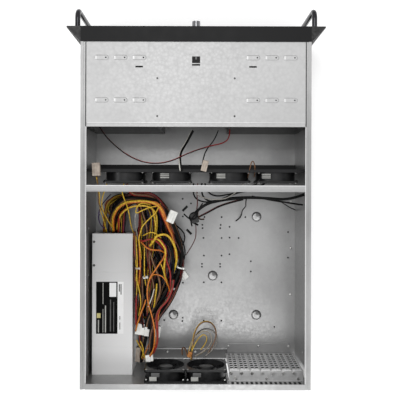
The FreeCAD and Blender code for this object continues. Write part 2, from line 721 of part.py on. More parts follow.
def fan_rotor(label, across, back, height, deep, reach):
    """Hub, swept blades trimmed to a round, and the shaft."""
    hub = rod(label + "_hub", (across, f"{back} + 3", height), f"{reach} * 0.43",
              f"{deep} - 6.5", "y")
    shaft = rod(label + "_shaft", (across, f"{back} + 4", height), "1.5", f"{deep} - 5", "y")
    chord = 0.82 * (size("fan_deep") - 9)
    blades = []
    for number in range(BLADES):
        blade = doc.addObject("Part::Box", f"{label}_blade_{number}")
        blade.setExpression("Length", bound(reach))
        blade.setExpression("Width", str(chord))
        blade.setExpression("Height", "1.4")
        round_axis = FreeCAD.Rotation(V(0, 1, 0), 360 / BLADES * number)
        pitch = FreeCAD.Rotation(V(1, 0, 0), 38)
        blade.Placement.Rotation = round_axis.multiply(pitch)
        lead = blade.Placement.Rotation.multVec(V(0, -chord / 2, -0.7))
        blade.setExpression("Placement.Base.x", bound(f"{across} + {lead.x}"))
        blade.setExpression("Placement.Base.y", bound(f"{back} + {deep} / 2 - 0.5 + {lead.y}"))
        blade.setExpression("Placement.Base.z", bound(f"{height} + {lead.z}"))
        blades.append(blade)
    fan = joined(label + "_blades", blades)
    limit = rod(label + "_limit", (across, back, height), reach, deep, "y")
    trimmed = doc.addObject("Part::Common", label + "_trimmed")
    trimmed.Base = fan
    trimmed.Tool = limit
    return joined(label, [hub, shaft, trimmed])


def fan_wall():
    """Black sheet across the case that the four middle fans are screwed to."""
    body = new_body("wall_sheet")
    side = sketch_on(body, "wall_side", "YZ_Plane", "0")
    front = "case_front + wall_front"
    outline(side, [
        (f"{front} - 14", "sheet"), (f"{front} + sheet", "sheet"),
        (f"{front} + sheet", "wall_top - sheet"), (f"{front} + 6", "wall_top - sheet"),
        (f"{front} + 6", "wall_top"), (front, "wall_top"),
        (front, "2 * sheet"), (f"{front} - 14", "2 * sheet"),
    ])
    pad(body, side, "2 * (half_width - sheet)", both=True)
    holes = [rod(f"wall_hole_{number}", (across, f"{front} - 2", "fan_height"), "fan_bore",
                 "6", "y") for number, across in enumerate(MID_FANS, start=1)]
    return cut("fan_wall", body, holes)


# ---------------------------------------------------------------- power supply
PSU_BACK = "case_front + depth - sheet"


def psu_case():
    """A tray with all four walls; its back is pierced for the fan, the inlet and the switch."""
    depth = "depth - sheet - psu_front"
    block = box("psu_block", ("psu_inner", "case_front + psu_front", "sheet"),
                ("psu_outer - psu_inner", depth, "psu_top - 2 * sheet"))
    room = box("psu_room", ("psu_inner + psu_sheet", "case_front + psu_front + psu_sheet",
                            "sheet + psu_sheet"),
               ("psu_outer - psu_inner - 2 * psu_sheet", f"{depth} - 2 * psu_sheet", "psu_top"))
    fan = rod("psu_fan_hole", ("psu_fan_x", f"{PSU_BACK} - 5", "psu_fan_height"),
              "psu_fan_bore", "9", "y")
    socket = box("psu_socket_hole", ("170.2", f"{PSU_BACK} - 5", "8.2"), ("27.6", "9", "19.6"))
    switch = box("psu_switch_hole", ("134.2", f"{PSU_BACK} - 5", "10.2"), ("13.6", "9", "9.6"))
    exit_hole = box("psu_exit", ("142", "case_front + psu_front - 2", "30"), ("56", "6", "50"))
    return cut("psu_case", block, [room, fan, socket, switch, exit_hole])


def psu_exit_plate():
    """The bushed plate that closes the opening for the leads."""
    return box("psu_exit_plate", ("142", "case_front + psu_front", "30"), ("56", "psu_sheet", "50"))


def psu_cover():
    """The lid, folded down a little inside the tray's walls."""
    lid = box("psu_lid", ("psu_inner", "case_front + psu_front", "psu_top - sheet"),
              ("psu_outer - psu_inner", "depth - sheet - psu_front", "psu_sheet"))
    folds = [box(f"psu_fold_{number}", (lead, "case_front + psu_front + 3", "psu_top - 9"),
                 ("psu_sheet", "depth - sheet - psu_front - 6", "9 - sheet"))
             for number, lead in enumerate(("psu_inner + psu_sheet",
                                            "psu_outer - 2 * psu_sheet"))]
    return joined("psu_cover", [lid] + folds)


def psu_inlet():
    """Mains inlet: a rim outside the tray's back and a socket with three pins inside."""
    rim = box("inlet_rim", ("168", PSU_BACK, "6"), ("32", "2.2", "24"))
    shell = box("inlet_shell", ("170.2", f"{PSU_BACK} - 16", "8.2"), ("27.6", "16", "19.6"))
    well = box("inlet_well", ("172.2", f"{PSU_BACK} - 13", "10.2"), ("23.6", "20", "15.6"))
    outside = cut("inlet_body", joined("inlet_outside", [rim, shell]), [well])
    pins = [box(f"inlet_pin_{number}", (lead, f"{PSU_BACK} - 13", level), ("2", "11", "4"))
            for number, (lead, level) in enumerate(((176, 14.5), (183, 18.5), (190, 14.5)))]
    return joined("psu_inlet", [outside] + pins)


def psu_rocker():
    """The rocker turns about a crosswise axis in the tray's back."""
    body = new_body("rocker_key")
    side = sketch_on(body, "rocker_side", "YZ_Plane", "141")
    middle = f"{PSU_BACK}"
    outline(side, [
        (f"{middle} - 4", "12.2"), (f"{middle} + 0.4", "11"), (f"{middle} + 1.4", "15"),
        (f"{middle} + 2.8", "19"), (f"{middle} - 4", "17.8"),
    ])
    pad(body, side, "12.6", both=True)
    pivot = rod("rocker_pivot", ("133.2", f"{PSU_BACK} - 2", "15"), "0.9", "15.6", "x")
    return joined("psu_rocker", [body, pivot])


# ---------------------------------------------------------------- wiring
def lead_path(points, name):
    """Straight runs joined by tangent arcs through a list of corner points."""
    corners = [V(*point) for point in points]
    edges = []
    start = corners[0]
    radii = []
    for before, corner, after in zip(corners, corners[1:], corners[2:]):
        run_in = corner - before
        run_out = after - corner
        shorter = min(run_in.Length, run_out.Length)
        half_turn = run_in.getAngle(run_out) / 2
        radius = 0.45 * shorter / math.tan(half_turn)
        radii.append(radius)
        run_in.normalize()
        run_out.normalize()
        entry = corner - run_in * 0.45 * shorter
        leave = corner + run_out * 0.45 * shorter
        inward = (run_out - run_in).normalize()
        crown = corner + inward * (radius / math.cos(half_turn) - radius)
        edges.append(Part.LineSegment(start, entry).toShape())
        edges.append(Part.Arc(entry, crown, leave).toShape())
        start = leave
    edges.append(Part.LineSegment(start, corners[-1]).toShape())
    print(f"{name}: least bend radius {min(radii):.1f}, length {sum(e.Length for e in edges):.0f}")
    return Part.Wire(edges)


# Corner points of each lead: distance to the left, distance back from the body's front, and
# height.  The last number is the lead's diameter.
LEADS = {
    "main_harness": ([
        (166, 363.8, 66), (166, 326, 66), (152, 296, 82), (118, 281, 93), (78, 288, 97),
        (50, 332, 95), (30, 384, 84), (27, 440, 76), (50, 500, 78), (78, 534, 94),
        (88, 562, 100), (88, 596, 100)], 13),
    "side_harness": ([
        (190, 363.8, 40), (190, 313.5, 40), (175.3, 293.2, 43), (151.5, 285.5, 46),
        (127.7, 293.2, 47), (113, 313.5, 47), (114, 360, 45), (116, 440, 46),
        (112, 512, 50), (113, 562, 60), (113, 596, 60)], 10),
    "board_harness": ([
        (147, 363.8, 70), (147, 320, 70), (135.4, 304, 74), (116.5, 298, 76),
        (97.7, 304, 76), (86, 320, 75), (85, 358, 72), (92, 420, 70), (88, 474, 76),
        (95, 514, 84), (95, 545, 84)], 9),
    "bay_leads": ([
        (212.3, 138, 116), (194, 139, 117), (184, 162, 121), (160, 188, 131),
        (128, 212, 142), (92, 226, 147), (52, 224, 150), (12, 204, 145), (-28, 190, 128),
        (-54, 184, 114), (-67, 173, 106), (-67, 156.05, 104)], 3.2),
    "drive_lead": ([
        (6, 158.4, 110), (17, 180, 108), (30, 202, 124), (31, 219, 143.2), (28, 239.5, 142.6)], 5),
    "fan_lead_front": ([
        (-44, 158.4, 112), (-38, 176, 108), (-22, 194, 110), (-14, 214, 124),
        (-12, 235.3, 133)], 3),
    "fan_lead_left": ([
        (190, 250.5, 146), (184, 284, 138), (188, 310, 122), (182, 338, 98),
        (180, 362.6, 74)], 3),
    "fan_lead_middle": ([
        (12, 263.05, 128), (2, 286, 126), (-34, 296, 124), (-72, 290, 126),
        (-92, 263.5, 129)], 4),
    "panel_lead": ([
        (0, 320.5, 100), (-16, 304, 108), (-52, 295, 112), (-100, 290, 112), (-146, 292, 111),
        (-184, 295, 112), (-212.8, 284, 114)], 5),
    "panel_branch": ([
        (-7, 330, 92), (-26, 320, 95), (-54, 304, 100), (-94, 294.4, 107)], 4),
    "sensor_lead": ([
        (0, 342.2, 92), (-2, 360, 86), (2, 382, 78), (19.5, 408, 77)], 2.5),
    "rear_fan_lead": ([
        (8, 621.1, 72), (6, 596, 66), (2, 568, 58), (-12, 548, 54), (-32, 548, 52),
        (-44, 566, 52), (-40, 590, 56), (-26, 610, 62)], 5),
}


def lead(name):
    points, thickness = LEADS[name]
    base = size("case_front")
    path = lead_path([(across, base + back, up) for across, back, up in points], name)
    first = path.Edges[0]
    along = first.tangentAt(first.FirstParameter)
    loop = Part.Wire(Part.Circle(path.Vertexes[0].Point, along, thickness / 2).toShape())
    solid = path.makePipeShell([loop], True, False)
    ideal = math.pi * thickness ** 2 / 4 * path.Length
    if not 0.97 < solid.Volume / ideal < 1.03:
        raise RuntimeError(f"{name}: volume {solid.Volume:.0f} against {ideal:.0f}")
    piece = doc.addObject("Part::Feature", name)
    piece.Shape = solid
    return piece


def plug(label, corner, sides):
    """A moulded plug: a block with a shallow waist."""
    across, back, up = corner
    block = box(label + "_block", (across, f"case_front + {back}", up), sides)
    grooves = []
    for number, share in enumerate((0.62, 0.8)):
        start = float(back) + float(sides[1]) * share
        grooves.append(box(f"{label}_groove_{number}",
                           (f"{across} - 1", f"case_front + {start}",
                            f"{up} + {sides[2]} - 1"),
                           (f"{sides[0]} + 2", "1.4", "2")))
    return cut(label, block, grooves)


def plugs():
    """Plugs on the free ends of the harness and of the left fan's lead."""
    return joined("lead_plugs", [
        plug("harness_plug", (77, 596, 94), (22, 18, 12)),
        plug("side_plug", (103, 596, 52), (20, 22, 16)),
        plug("fan_plug_left", (182, 224, "wall_top"), (16, 26, 12)),
        plug("fan_plug_middle", (-24, 216, "wall_top"), (16, 26, 12)),
        plug("header_plug", (-6, 322, 86), (16, 20, 18)),
    ])


# ---------------------------------------------------------------- assembly
nodes = [
    chassis_shell(), rear_panel(), slot_frame(), slot_screws(), bay_cover(),
    drive_cage("drive_cage_left", 1), drive_cage("drive_cage_right", -1), cross_brace(),
    front_frame(), front_door(), door_hinge_pins(), lock_housing(), lock_barrel(),
    push_button("power_button", 120, 5), push_button("reset_button", 98, 3),
    ear("ear_left", 1), ear("ear_right", -1), handle("handle_left", 1),
    handle("handle_right", -1), fan_wall(), psu_case(), psu_exit_plate(), psu_cover(),
    psu_inlet(), psu_rocker(), plugs(), plug("board_plug", (70, 545, 78), (50, 26, 12)),
]
nodes += [slot_cover(number) for number in range(SLOTS)]
for number, across in enumerate(MID_FANS, start=1):
    back = "case_front + wall_front + sheet"
    nodes.append(fan_frame(f"fan_frame_{number}", across, back, "fan_height", "fan_size",
                           "fan_deep", "fan_bore"))
    nodes.append(fan_rotor(f"fan_rotor_{number}", across, back, "fan_height", "fan_deep",
                           "rotor_radius"))
for number, across in enumerate(FAN_SPOTS_REAR, start=1):
    back = "case_front + depth - sheet - fan_deep"
    nodes.append(fan_frame(f"rear_fan_frame_{number}", across, back, "rear_fan_height",
                           "fan_size", "fan_deep", "fan_bore"))
    nodes.append(fan_rotor(f"rear_fan_rotor_{number}", across, back, "rear_fan_height",
                           "fan_deep", "rotor_radius"))
psu_fan_back = "case_front + depth - sheet - psu_sheet - fan_deep"
nodes.append(fan_frame("psu_fan_frame", "psu_fan_x", psu_fan_back, "psu_fan_height",
                       "psu_fan_size", "fan_deep", "psu_fan_bore"))
nodes.append(fan_rotor("psu_fan_rotor", "psu_fan_x", psu_fan_back, "psu_fan_height",
                       "fan_deep", "psu_rotor_radius"))
nodes += [lead(name) for name in LEADS]


# ---------------------------------------------------------------- checks and files
doc.recompute()
for item in doc.Objects:
    if any(word in ("Invalid", "Error") for word in item.State):
        raise RuntimeError(item.Label + " did not build: " + str(item.State))
for node in nodes:
    if node.Shape.isNull() or not node.Shape.isValid() or node.Shape.Volume <= 0:
        raise RuntimeError(node.Label + " has no sound shape")

os.makedirs("parts", exist_ok=True)
for node in nodes:
    node.Shape.exportStep(f"parts/{node.Label}.step")
whole = Part.makeCompound([node.Shape for node in nodes]).BoundBox
print(f"{len(nodes)} nodes, from {whole.XMin:.2f} {whole.YMin:.2f} {whole.ZMin:.2f} "
      f"to {whole.XMax:.2f} {whole.YMax:.2f} {whole.ZMax:.2f}")
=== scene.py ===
"""Looks of the rackmount server case: sheet metal, front, fans, power supply and wiring.

Metres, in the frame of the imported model: front towards -Y, rear towards +Y, up +Z.
"""

import json
import math
import random

import bmesh
import bpy
from mathutils import Euler, Matrix, Vector


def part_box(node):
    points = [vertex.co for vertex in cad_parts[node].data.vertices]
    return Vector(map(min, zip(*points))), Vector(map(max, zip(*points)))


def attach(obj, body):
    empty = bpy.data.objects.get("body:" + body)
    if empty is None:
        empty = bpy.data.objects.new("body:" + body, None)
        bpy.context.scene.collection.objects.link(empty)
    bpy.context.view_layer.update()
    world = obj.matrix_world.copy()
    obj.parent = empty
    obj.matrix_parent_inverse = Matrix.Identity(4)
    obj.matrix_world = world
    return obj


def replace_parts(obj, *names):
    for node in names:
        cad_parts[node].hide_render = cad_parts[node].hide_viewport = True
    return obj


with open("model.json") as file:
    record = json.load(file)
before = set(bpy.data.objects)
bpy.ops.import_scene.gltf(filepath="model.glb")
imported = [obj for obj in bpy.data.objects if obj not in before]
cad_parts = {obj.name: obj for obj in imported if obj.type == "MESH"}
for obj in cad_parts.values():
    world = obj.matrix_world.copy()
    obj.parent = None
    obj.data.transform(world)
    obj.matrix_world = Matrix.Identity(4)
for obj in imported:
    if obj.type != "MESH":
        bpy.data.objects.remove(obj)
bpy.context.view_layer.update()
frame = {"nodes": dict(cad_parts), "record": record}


# ------------------------------------------------------------------ studio
# A camera straight above the middle of the case, three soft lamps and a sheet of white paper.
# The paper is painted dark under the case as shade, where the floor keeps the light away.
case_low, case_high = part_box("chassis_shell")
FRONT = case_low.y          # where the steel body starts behind the black front
TOP = case_high.z
REAR = case_high.y


def add(tree, kind, **settings):
    node = tree.nodes.new(kind)
    for key, value in settings.items():
        setattr(node, key, value)
    return node


def camera():
    back, rise, roll = 0.276, 1.116, 0.0029
    data = bpy.data.cameras.new("camera")
    data.lens = 54.0
    data.sensor_width = 36.0
    data.shift_x = 0.01075
    data.shift_y = -0.025
    holder = bpy.data.objects.new("camera", data)
    holder.location = (0.0, FRONT + back, TOP + rise)
    holder.rotation_euler = Euler((0.0, 0.0, math.pi + roll))
    bpy.context.scene.collection.objects.link(holder)
    bpy.context.scene.camera = holder


def lamp(name, place, aim, side, watts):
    """A square soft box turned towards a point."""
    data = bpy.data.lights.new(name, "AREA")
    data.shape = "RECTANGLE"
    data.size = side
    data.size_y = side
    data.energy = watts
    light = bpy.data.objects.new(name, data)
    light.location = place
    light.rotation_euler = (Vector(aim) - Vector(place)).to_track_quat("-Z", "Y").to_euler()
    bpy.context.scene.collection.objects.link(light)


def paper_finish():
    """White paper that glows a little, with a patch of painted shade as large as the case's floor.
    """
    margin = 0.004
    paper = bpy.data.materials.new("paper")
    paper.use_nodes = True
    tree = paper.node_tree
    shader = tree.nodes["Principled BSDF"]
    shader.inputs["Roughness"].default_value = 0.9
    place = add(tree, "ShaderNodeTexCoord")
    split = add(tree, "ShaderNodeSeparateXYZ")
    tree.links.new(place.outputs["Object"], split.inputs["Vector"])
    # Painted shade: the paper turns near black inside the case's outline.
    shade_under_case = add(tree, "ShaderNodeMath", operation="MULTIPLY")
    spans = (("X", 0.0, case_high.x - margin),
             ("Y", (FRONT + REAR) / 2, (REAR - FRONT) / 2 - margin))
    for number, (axis, middle, half) in enumerate(spans):
        near = add(tree, "ShaderNodeMath", operation="COMPARE")
        near.inputs[1].default_value = middle
        near.inputs[2].default_value = half
        tree.links.new(split.outputs[axis], near.inputs[0])
        tree.links.new(near.outputs[0], shade_under_case.inputs[number])
    tone = add(tree, "ShaderNodeMix", data_type="RGBA")
    tone.inputs[6].default_value = (0.97, 0.97, 0.97, 1.0)
    tone.inputs[7].default_value = (0.012, 0.012, 0.012, 1.0)
    tree.links.new(shade_under_case.outputs[0], tone.inputs["Factor"])
    tree.links.new(tone.outputs[2], shader.inputs["Base Color"])
    tree.links.new(tone.outputs[2], shader.inputs["Emission Color"])
    shader.inputs["Emission Strength"].default_value = 0.22
    return paper


def studio():
    world = bpy.data.worlds.new("studio")
    world.use_nodes = True
    sky = world.node_tree.nodes["Background"]
    sky.inputs["Color"].default_value = (1.0, 1.0, 1.0, 1.0)
    sky.inputs["Strength"].default_value = 0.86
    bpy.context.scene.world = world
    bpy.context.scene.view_settings.view_transform = "Standard"
    lamp("rear", (-0.10, 1.0, 2.3), (0.0, 0.0, 0.0), 0.7, 5.5)
    lamp("front", (0.10, -0.75, 2.3), (0.0, 0.0, 0.0), 0.6, 7.5)
    lamp("side", (1.5, -0.1, 1.3), (0.0, 0.0, 0.1), 0.6, 6.0)
    reach = 4
    floor_mesh = bpy.data.meshes.new("studio_floor")
    floor_mesh.from_pydata([(-reach, -reach, 0), (reach, -reach, 0), (reach, reach, 0),
                            (-reach, reach, 0)], [], [(0, 1, 2, 3)])
    floor_mesh.materials.append(paper_finish())
    floor = bpy.data.objects.new("studio_floor", floor_mesh)
    bpy.context.scene.collection.objects.link(floor)


camera()
studio()


# ------------------------------------------------------------------ floor, walls and rear panel
# One folded sheet of zinc coated steel, closed at the back by a panel.  Two strips, rivets,
# pressed dimples and spare holes lie on the floor; the modelled sheets keep their shape.
FLOOR_TOP = 0.0012


def grey(level):
    return (level, level, level)


def new_finish(name, colour, rough, metal=0.0, shine=0.5):
    finish = bpy.data.materials.new(name)
    finish.use_nodes = True
    shader = finish.node_tree.nodes["Principled BSDF"]
    shader.inputs["Base Color"].default_value = (*colour, 1.0)
    shader.inputs["Roughness"].default_value = rough
    shader.inputs["Metallic"].default_value = metal
    shader.inputs["Specular IOR Level"].default_value = shine
    return finish, finish.node_tree, shader


def texture(tree, kind, scale):
    """A pattern laid in the object's own coordinates."""
    place = add(tree, "ShaderNodeTexCoord")
    pattern = add(tree, kind)
    pattern.inputs["Scale"].default_value = scale
    tree.links.new(place.outputs["Object"], pattern.inputs["Vector"])
    return pattern


def ranged(tree, value, low, high, start=0.0, stop=1.0):
    """A value between start and stop, spread from low to high."""
    spread = add(tree, "ShaderNodeMapRange")
    for socket, number in (("From Min", start), ("From Max", stop), ("To Min", low),
                           ("To Max", high)):
        spread.inputs[socket].default_value = number
    tree.links.new(value, spread.inputs["Value"])
    return spread.outputs["Result"]


def mottle_group():
    """Cloudy noise between two colours, used by every finish."""
    group = bpy.data.node_groups.new("mottle", "ShaderNodeTree")
    for name, way, kind in (("Dark", "INPUT", "Color"), ("Light", "INPUT", "Color"),
                            ("Scale", "INPUT", "Float"), ("Color", "OUTPUT", "Color"),
                            ("Value", "OUTPUT", "Float")):
        group.interface.new_socket(name, in_out=way, socket_type="NodeSocket" + kind)
    given = add(group, "NodeGroupInput")
    result = add(group, "NodeGroupOutput")
    noise = texture(group, "ShaderNodeTexNoise", 1.0)
    noise.inputs["Detail"].default_value = 5.0
    group.links.new(given.outputs["Scale"], noise.inputs["Scale"])
    share = ranged(group, noise.outputs["Fac"], 0.0, 1.0, 0.35, 0.65)
    mix = add(group, "ShaderNodeMix", data_type="RGBA")
    group.links.new(share, mix.inputs["Factor"])
    group.links.new(given.outputs["Dark"], mix.inputs[6])
    group.links.new(given.outputs["Light"], mix.inputs[7])
    group.links.new(mix.outputs[2], result.inputs["Color"])
    group.links.new(share, result.inputs["Value"])
    return group


MOTTLE = mottle_group()


def mottled(tree, dark, light, scale):
    node = add(tree, "ShaderNodeGroup", node_tree=MOTTLE)
    node.inputs["Dark"].default_value = (*dark, 1.0)
    node.inputs["Light"].default_value = (*light, 1.0)
    node.inputs["Scale"].default_value = scale
    return node


def multiplied(tree, shader, first, second):
    """Base colour as the product of two sockets."""
    mix = add(tree, "ShaderNodeMix", data_type="RGBA", blend_type="MULTIPLY")
    mix.inputs["Factor"].default_value = 1.0
    tree.links.new(first, mix.inputs[6])
    tree.links.new(second, mix.inputs[7])
    tree.links.new(mix.outputs[2], shader.inputs["Base Color"])


def roughened(tree, shader, value, low, high):
    """Roughness that follows a value between 0 and 1."""
    tree.links.new(ranged(tree, value, low, high), shader.inputs["Roughness"])


def bumped(tree, shader, value, strength, distance):
    bump = add(tree, "ShaderNodeBump")
    bump.inputs["Strength"].default_value = strength
    bump.inputs["Distance"].default_value = distance
    tree.links.new(value, bump.inputs["Height"])
    tree.links.new(bump.outputs["Normal"], shader.inputs["Normal"])


def zinc_sheet(name, dark, light, rough, metal=0.75):
    """Zinc coated sheet: faint crystal flakes, a broad cloudiness and rolling marks."""
    finish, tree, shader = new_finish(name, grey(light), rough, metal)
    cloud = mottled(tree, grey(dark), grey(light), 7.0)
    flakes = texture(tree, "ShaderNodeTexVoronoi", 170.0)
    multiplied(tree, shader, cloud.outputs["Color"],
               ranged(tree, flakes.outputs["Color"], 0.97, 1.025))
    roughened(tree, shader, flakes.outputs["Distance"], rough - 0.05, rough + 0.08)
    place = add(tree, "ShaderNodeTexCoord")
    stretch = add(tree, "ShaderNodeMapping")
    stretch.inputs["Scale"].default_value = (30.0, 1.0, 30.0)
    grain = add(tree, "ShaderNodeTexNoise")
    grain.inputs["Scale"].default_value = 60.0
    tree.links.new(place.outputs["Object"], stretch.inputs["Vector"])
    tree.links.new(stretch.outputs["Vector"], grain.inputs["Vector"])
    bumped(tree, shader, grain.outputs["Fac"], 0.12, 0.0003)
    return finish


def satin_paint(name, dark, light, rough):
    """Sprayed paint with a fine orange peel."""
    finish, tree, shader = new_finish(name, light, rough, shine=0.22)
    cloud = mottled(tree, dark, light, 40.0)
    tree.links.new(cloud.outputs["Color"], shader.inputs["Base Color"])
    peel = texture(tree, "ShaderNodeTexNoise", 900.0)
    bumped(tree, shader, peel.outputs["Fac"], 0.25, 0.0002)
    roughened(tree, shader, cloud.outputs["Value"], rough - 0.04, rough + 0.06)
    return finish


def polished(name, dark, light, rough):
    """Plated metal with a slightly uneven shine."""
    finish, tree, shader = new_finish(name, light, rough, 1.0)
    cloud = mottled(tree, dark, light, 30.0)
    tree.links.new(cloud.outputs["Color"], shader.inputs["Base Color"])
    roughened(tree, shader, cloud.outputs["Value"], rough * 0.7, rough * 1.4)
    return finish


ZINC = zinc_sheet("zinc_sheet", 0.31, 0.41, 0.32)
ZINC_TAB = zinc_sheet("zinc_tab", 0.58, 0.68, 0.4, 0.5)
# Dark zinc for painted shade.
ZINC_SHADE_MID = zinc_sheet("zinc_shade_mid", 0.13, 0.18, 0.4, 0.4)
ZINC_SHADE = zinc_sheet("zinc_shade", 0.10, 0.15, 0.5, 0.4)
# Near-black paint for painted shade in holes, vents, the bay cover's window and joints.
SHADE_BLACK = satin_paint("shade_black", grey(0.012), grey(0.022), 0.7)
SCREW = polished("screw_zinc", (0.55, 0.55, 0.53), (0.75, 0.75, 0.74), 0.25)


def placed(point):
    """A point given by its distance to the left, distance back from the body and height."""
    across, back, up = point
    return Vector((across, FRONT + back, up))


def dress(node, finish):
    mesh = frame["nodes"][node].data
    mesh.materials.clear()
    mesh.materials.append(finish)


def piece(name, shape, finishes, body="case"):
    """Put a finished shape in the scene as a named piece that rides on a body."""
    mesh = bpy.data.meshes.new(name)
    bmesh.ops.recalc_face_normals(shape, faces=shape.faces[:])
    shape.to_mesh(mesh)
    shape.free()
    for finish in finishes:
        mesh.materials.append(finish)
    thing = bpy.data.objects.new(name, mesh)
    bpy.context.scene.collection.objects.link(thing)
    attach(thing, body)
    return thing


def block(shape, low, high, bevel=0.0, material=0):
    """A box, with rounded edges where a bevel is given."""
    middle = (Vector(low) + Vector(high)) / 2
    size = Vector(high) - Vector(low)
    matrix = Matrix.Translation(middle) @ Matrix.Diagonal((*size, 1.0))
    made = bmesh.ops.create_cube(shape, size=1.0, matrix=matrix)
    faces = {face for vert in made["verts"] for face in vert.link_faces}
    if bevel > 0:
        edges = {edge for face in faces for edge in face.edges}
        rounded = bmesh.ops.bevel(shape, geom=list(edges), offset=bevel, segments=2,
                                  profile=0.5, affect="EDGES")
        faces = {face for vert in rounded["verts"] for face in vert.link_faces}
    for face in faces:
        face.material_index = material


def level_ring(shape, centre, radius, height, sides):
    """Vertices on a level circle."""
    angles = [k * math.tau / sides for k in range(sides)]
    return [shape.verts.new((centre[0] + radius * math.cos(a), centre[1] + radius * math.sin(a),
                             centre[2] + height)) for a in angles]


def loft(shape, rings, material=0, smooth=True):
    """Faces between neighbouring rings of vertices."""
    for first, second in zip(rings, rings[1:]):
        count = len(first)
        for k in range(count):
            after = (k + 1) % count
            face = shape.faces.new((first[k], first[after], second[after], second[k]))
            face.material_index = material
            face.smooth = smooth


def rivet(shape, centre, radius, height):
    """A low domed head on a flat sheet."""
    rings = [level_ring(shape, centre, radius * out, height * up, 16)
             for out, up in ((1.0, 0.0), (1.0, 0.25), (0.72, 0.8), (0.30, 1.0))]
    loft(shape, rings)
    shape.faces.new(rings[-1])


def floor_strips():
    """The support strip of the slots and the foot of the rear panel, folded onto the floor."""
    thick = 0.0012
    rivet_row = FLOOR_TOP + thick
    shape = bmesh.new()
    block(shape, (-0.2035, FRONT + 0.6055, FLOOR_TOP), (-0.0690, FRONT + 0.6262, rivet_row),
          0.0005)
    # Painted shade: the foot of the rear panel is dark zinc, with a painted highlight in bright
    # zinc along its front edge.
    block(shape, (-0.0685, FRONT + 0.6170, FLOOR_TOP), (0.1180, FRONT + 0.6372, rivet_row),
          0.0005, 1)
    block(shape, (-0.0685, FRONT + 0.6165, FLOOR_TOP),
          (0.1180, FRONT + 0.6180, FLOOR_TOP + 0.0018), 0.0003, 2)
    piece("rear_feet", shape, [ZINC, ZINC_SHADE, ZINC_TAB])
    rivets = bmesh.new()
    for across, back in ((-0.0716, 0.611), (-0.2006, 0.611), (-0.136, 0.611),
                         (0.0, 0.6235), (0.060, 0.6235)):
        rivet(rivets, placed((across, back, rivet_row)), 0.0024, 0.0009)
    for across, back in ((-0.2045, 0.30), (-0.2045, 0.40), (-0.2045, 0.50), (0.2085, 0.33),
                         (0.2085, 0.47), (0.2085, 0.59)):
        rivet(rivets, placed((across, back, FLOOR_TOP)), 0.0026, 0.0010)
    piece("floor_rivets", rivets, [SCREW])


def spare_holes():
    # Near-black discs of painted shade where the floor has spare holes.
    shape = bmesh.new()
    for across, back in ((-0.0146, 0.3509), (-0.0540, 0.3509), (-0.0140, 0.4348),
                         (-0.0529, 0.4348), (-0.0731, 0.3782), (0.0278, 0.5578)):
        rivet(shape, placed((across, back, FLOOR_TOP)), 0.0019, 0.0002)
    piece("spare_holes", shape, [SHADE_BLACK])


def floor_dimples():
    """The pressed dimples of the floor, each with its rolled rim and sunken crown, with painted
    highlight and shade on its faces.
    """
    steps = 36
    outline = ((0.0106, 0.0013), (0.0094, 0.0047), (0.0083, 0.0058), (0.0064, 0.0064),
               (0.0042, 0.0060), (0.0012, 0.0057))
    crown, shaded, plain = 0, 1, 2
    shape = bmesh.new()
    for across, back in ((-0.131, 0.333), (-0.037, 0.460), (-0.131, 0.544), (0.047, 0.544)):
        centre = placed((across, back, 0.0))
        rings = [level_ring(shape, centre, radius, height, steps) for radius, height in outline]
        for level, (a, b) in enumerate(zip(rings, rings[1:])):
            for k in range(steps):
                after = (k + 1) % steps
                face = shape.faces.new((a[k], a[after], b[after], b[k]))
                face.smooth = True
                # Faces turned towards the light take bright zinc and faces turned away take dark
                # zinc: painted highlight and shade.
                towards_light = math.sin((k + 0.5) * math.tau / steps + 0.5)
                if level <= 1:
                    face.material_index = shaded if towards_light < -0.2 else plain
                elif towards_light > 0.0:
                    face.material_index = crown
                else:
                    face.material_index = shaded if towards_light < -0.6 else plain
        shape.faces.new(rings[-1]).material_index = plain
    piece("floor_dimples", shape, [ZINC_TAB, ZINC_SHADE_MID, ZINC])


dress("chassis_shell", ZINC)
dress("rear_panel", ZINC)
floor_strips()
spare_holes()
floor_dimples()


# ------------------------------------------------------------------ expansion slots
# Seven bright blank covers screwed to a frame beside the rear vents.  Each has two columns of
# punched cells with raised rims in bright zinc as painted highlights; the cells and vents are
# near-black plates of painted shade, not cut through.
# Bright zinc for painted highlights.
HIGHLIGHT_ZINC = zinc_sheet("highlight_zinc", 0.74, 0.84, 0.3, 0.3)


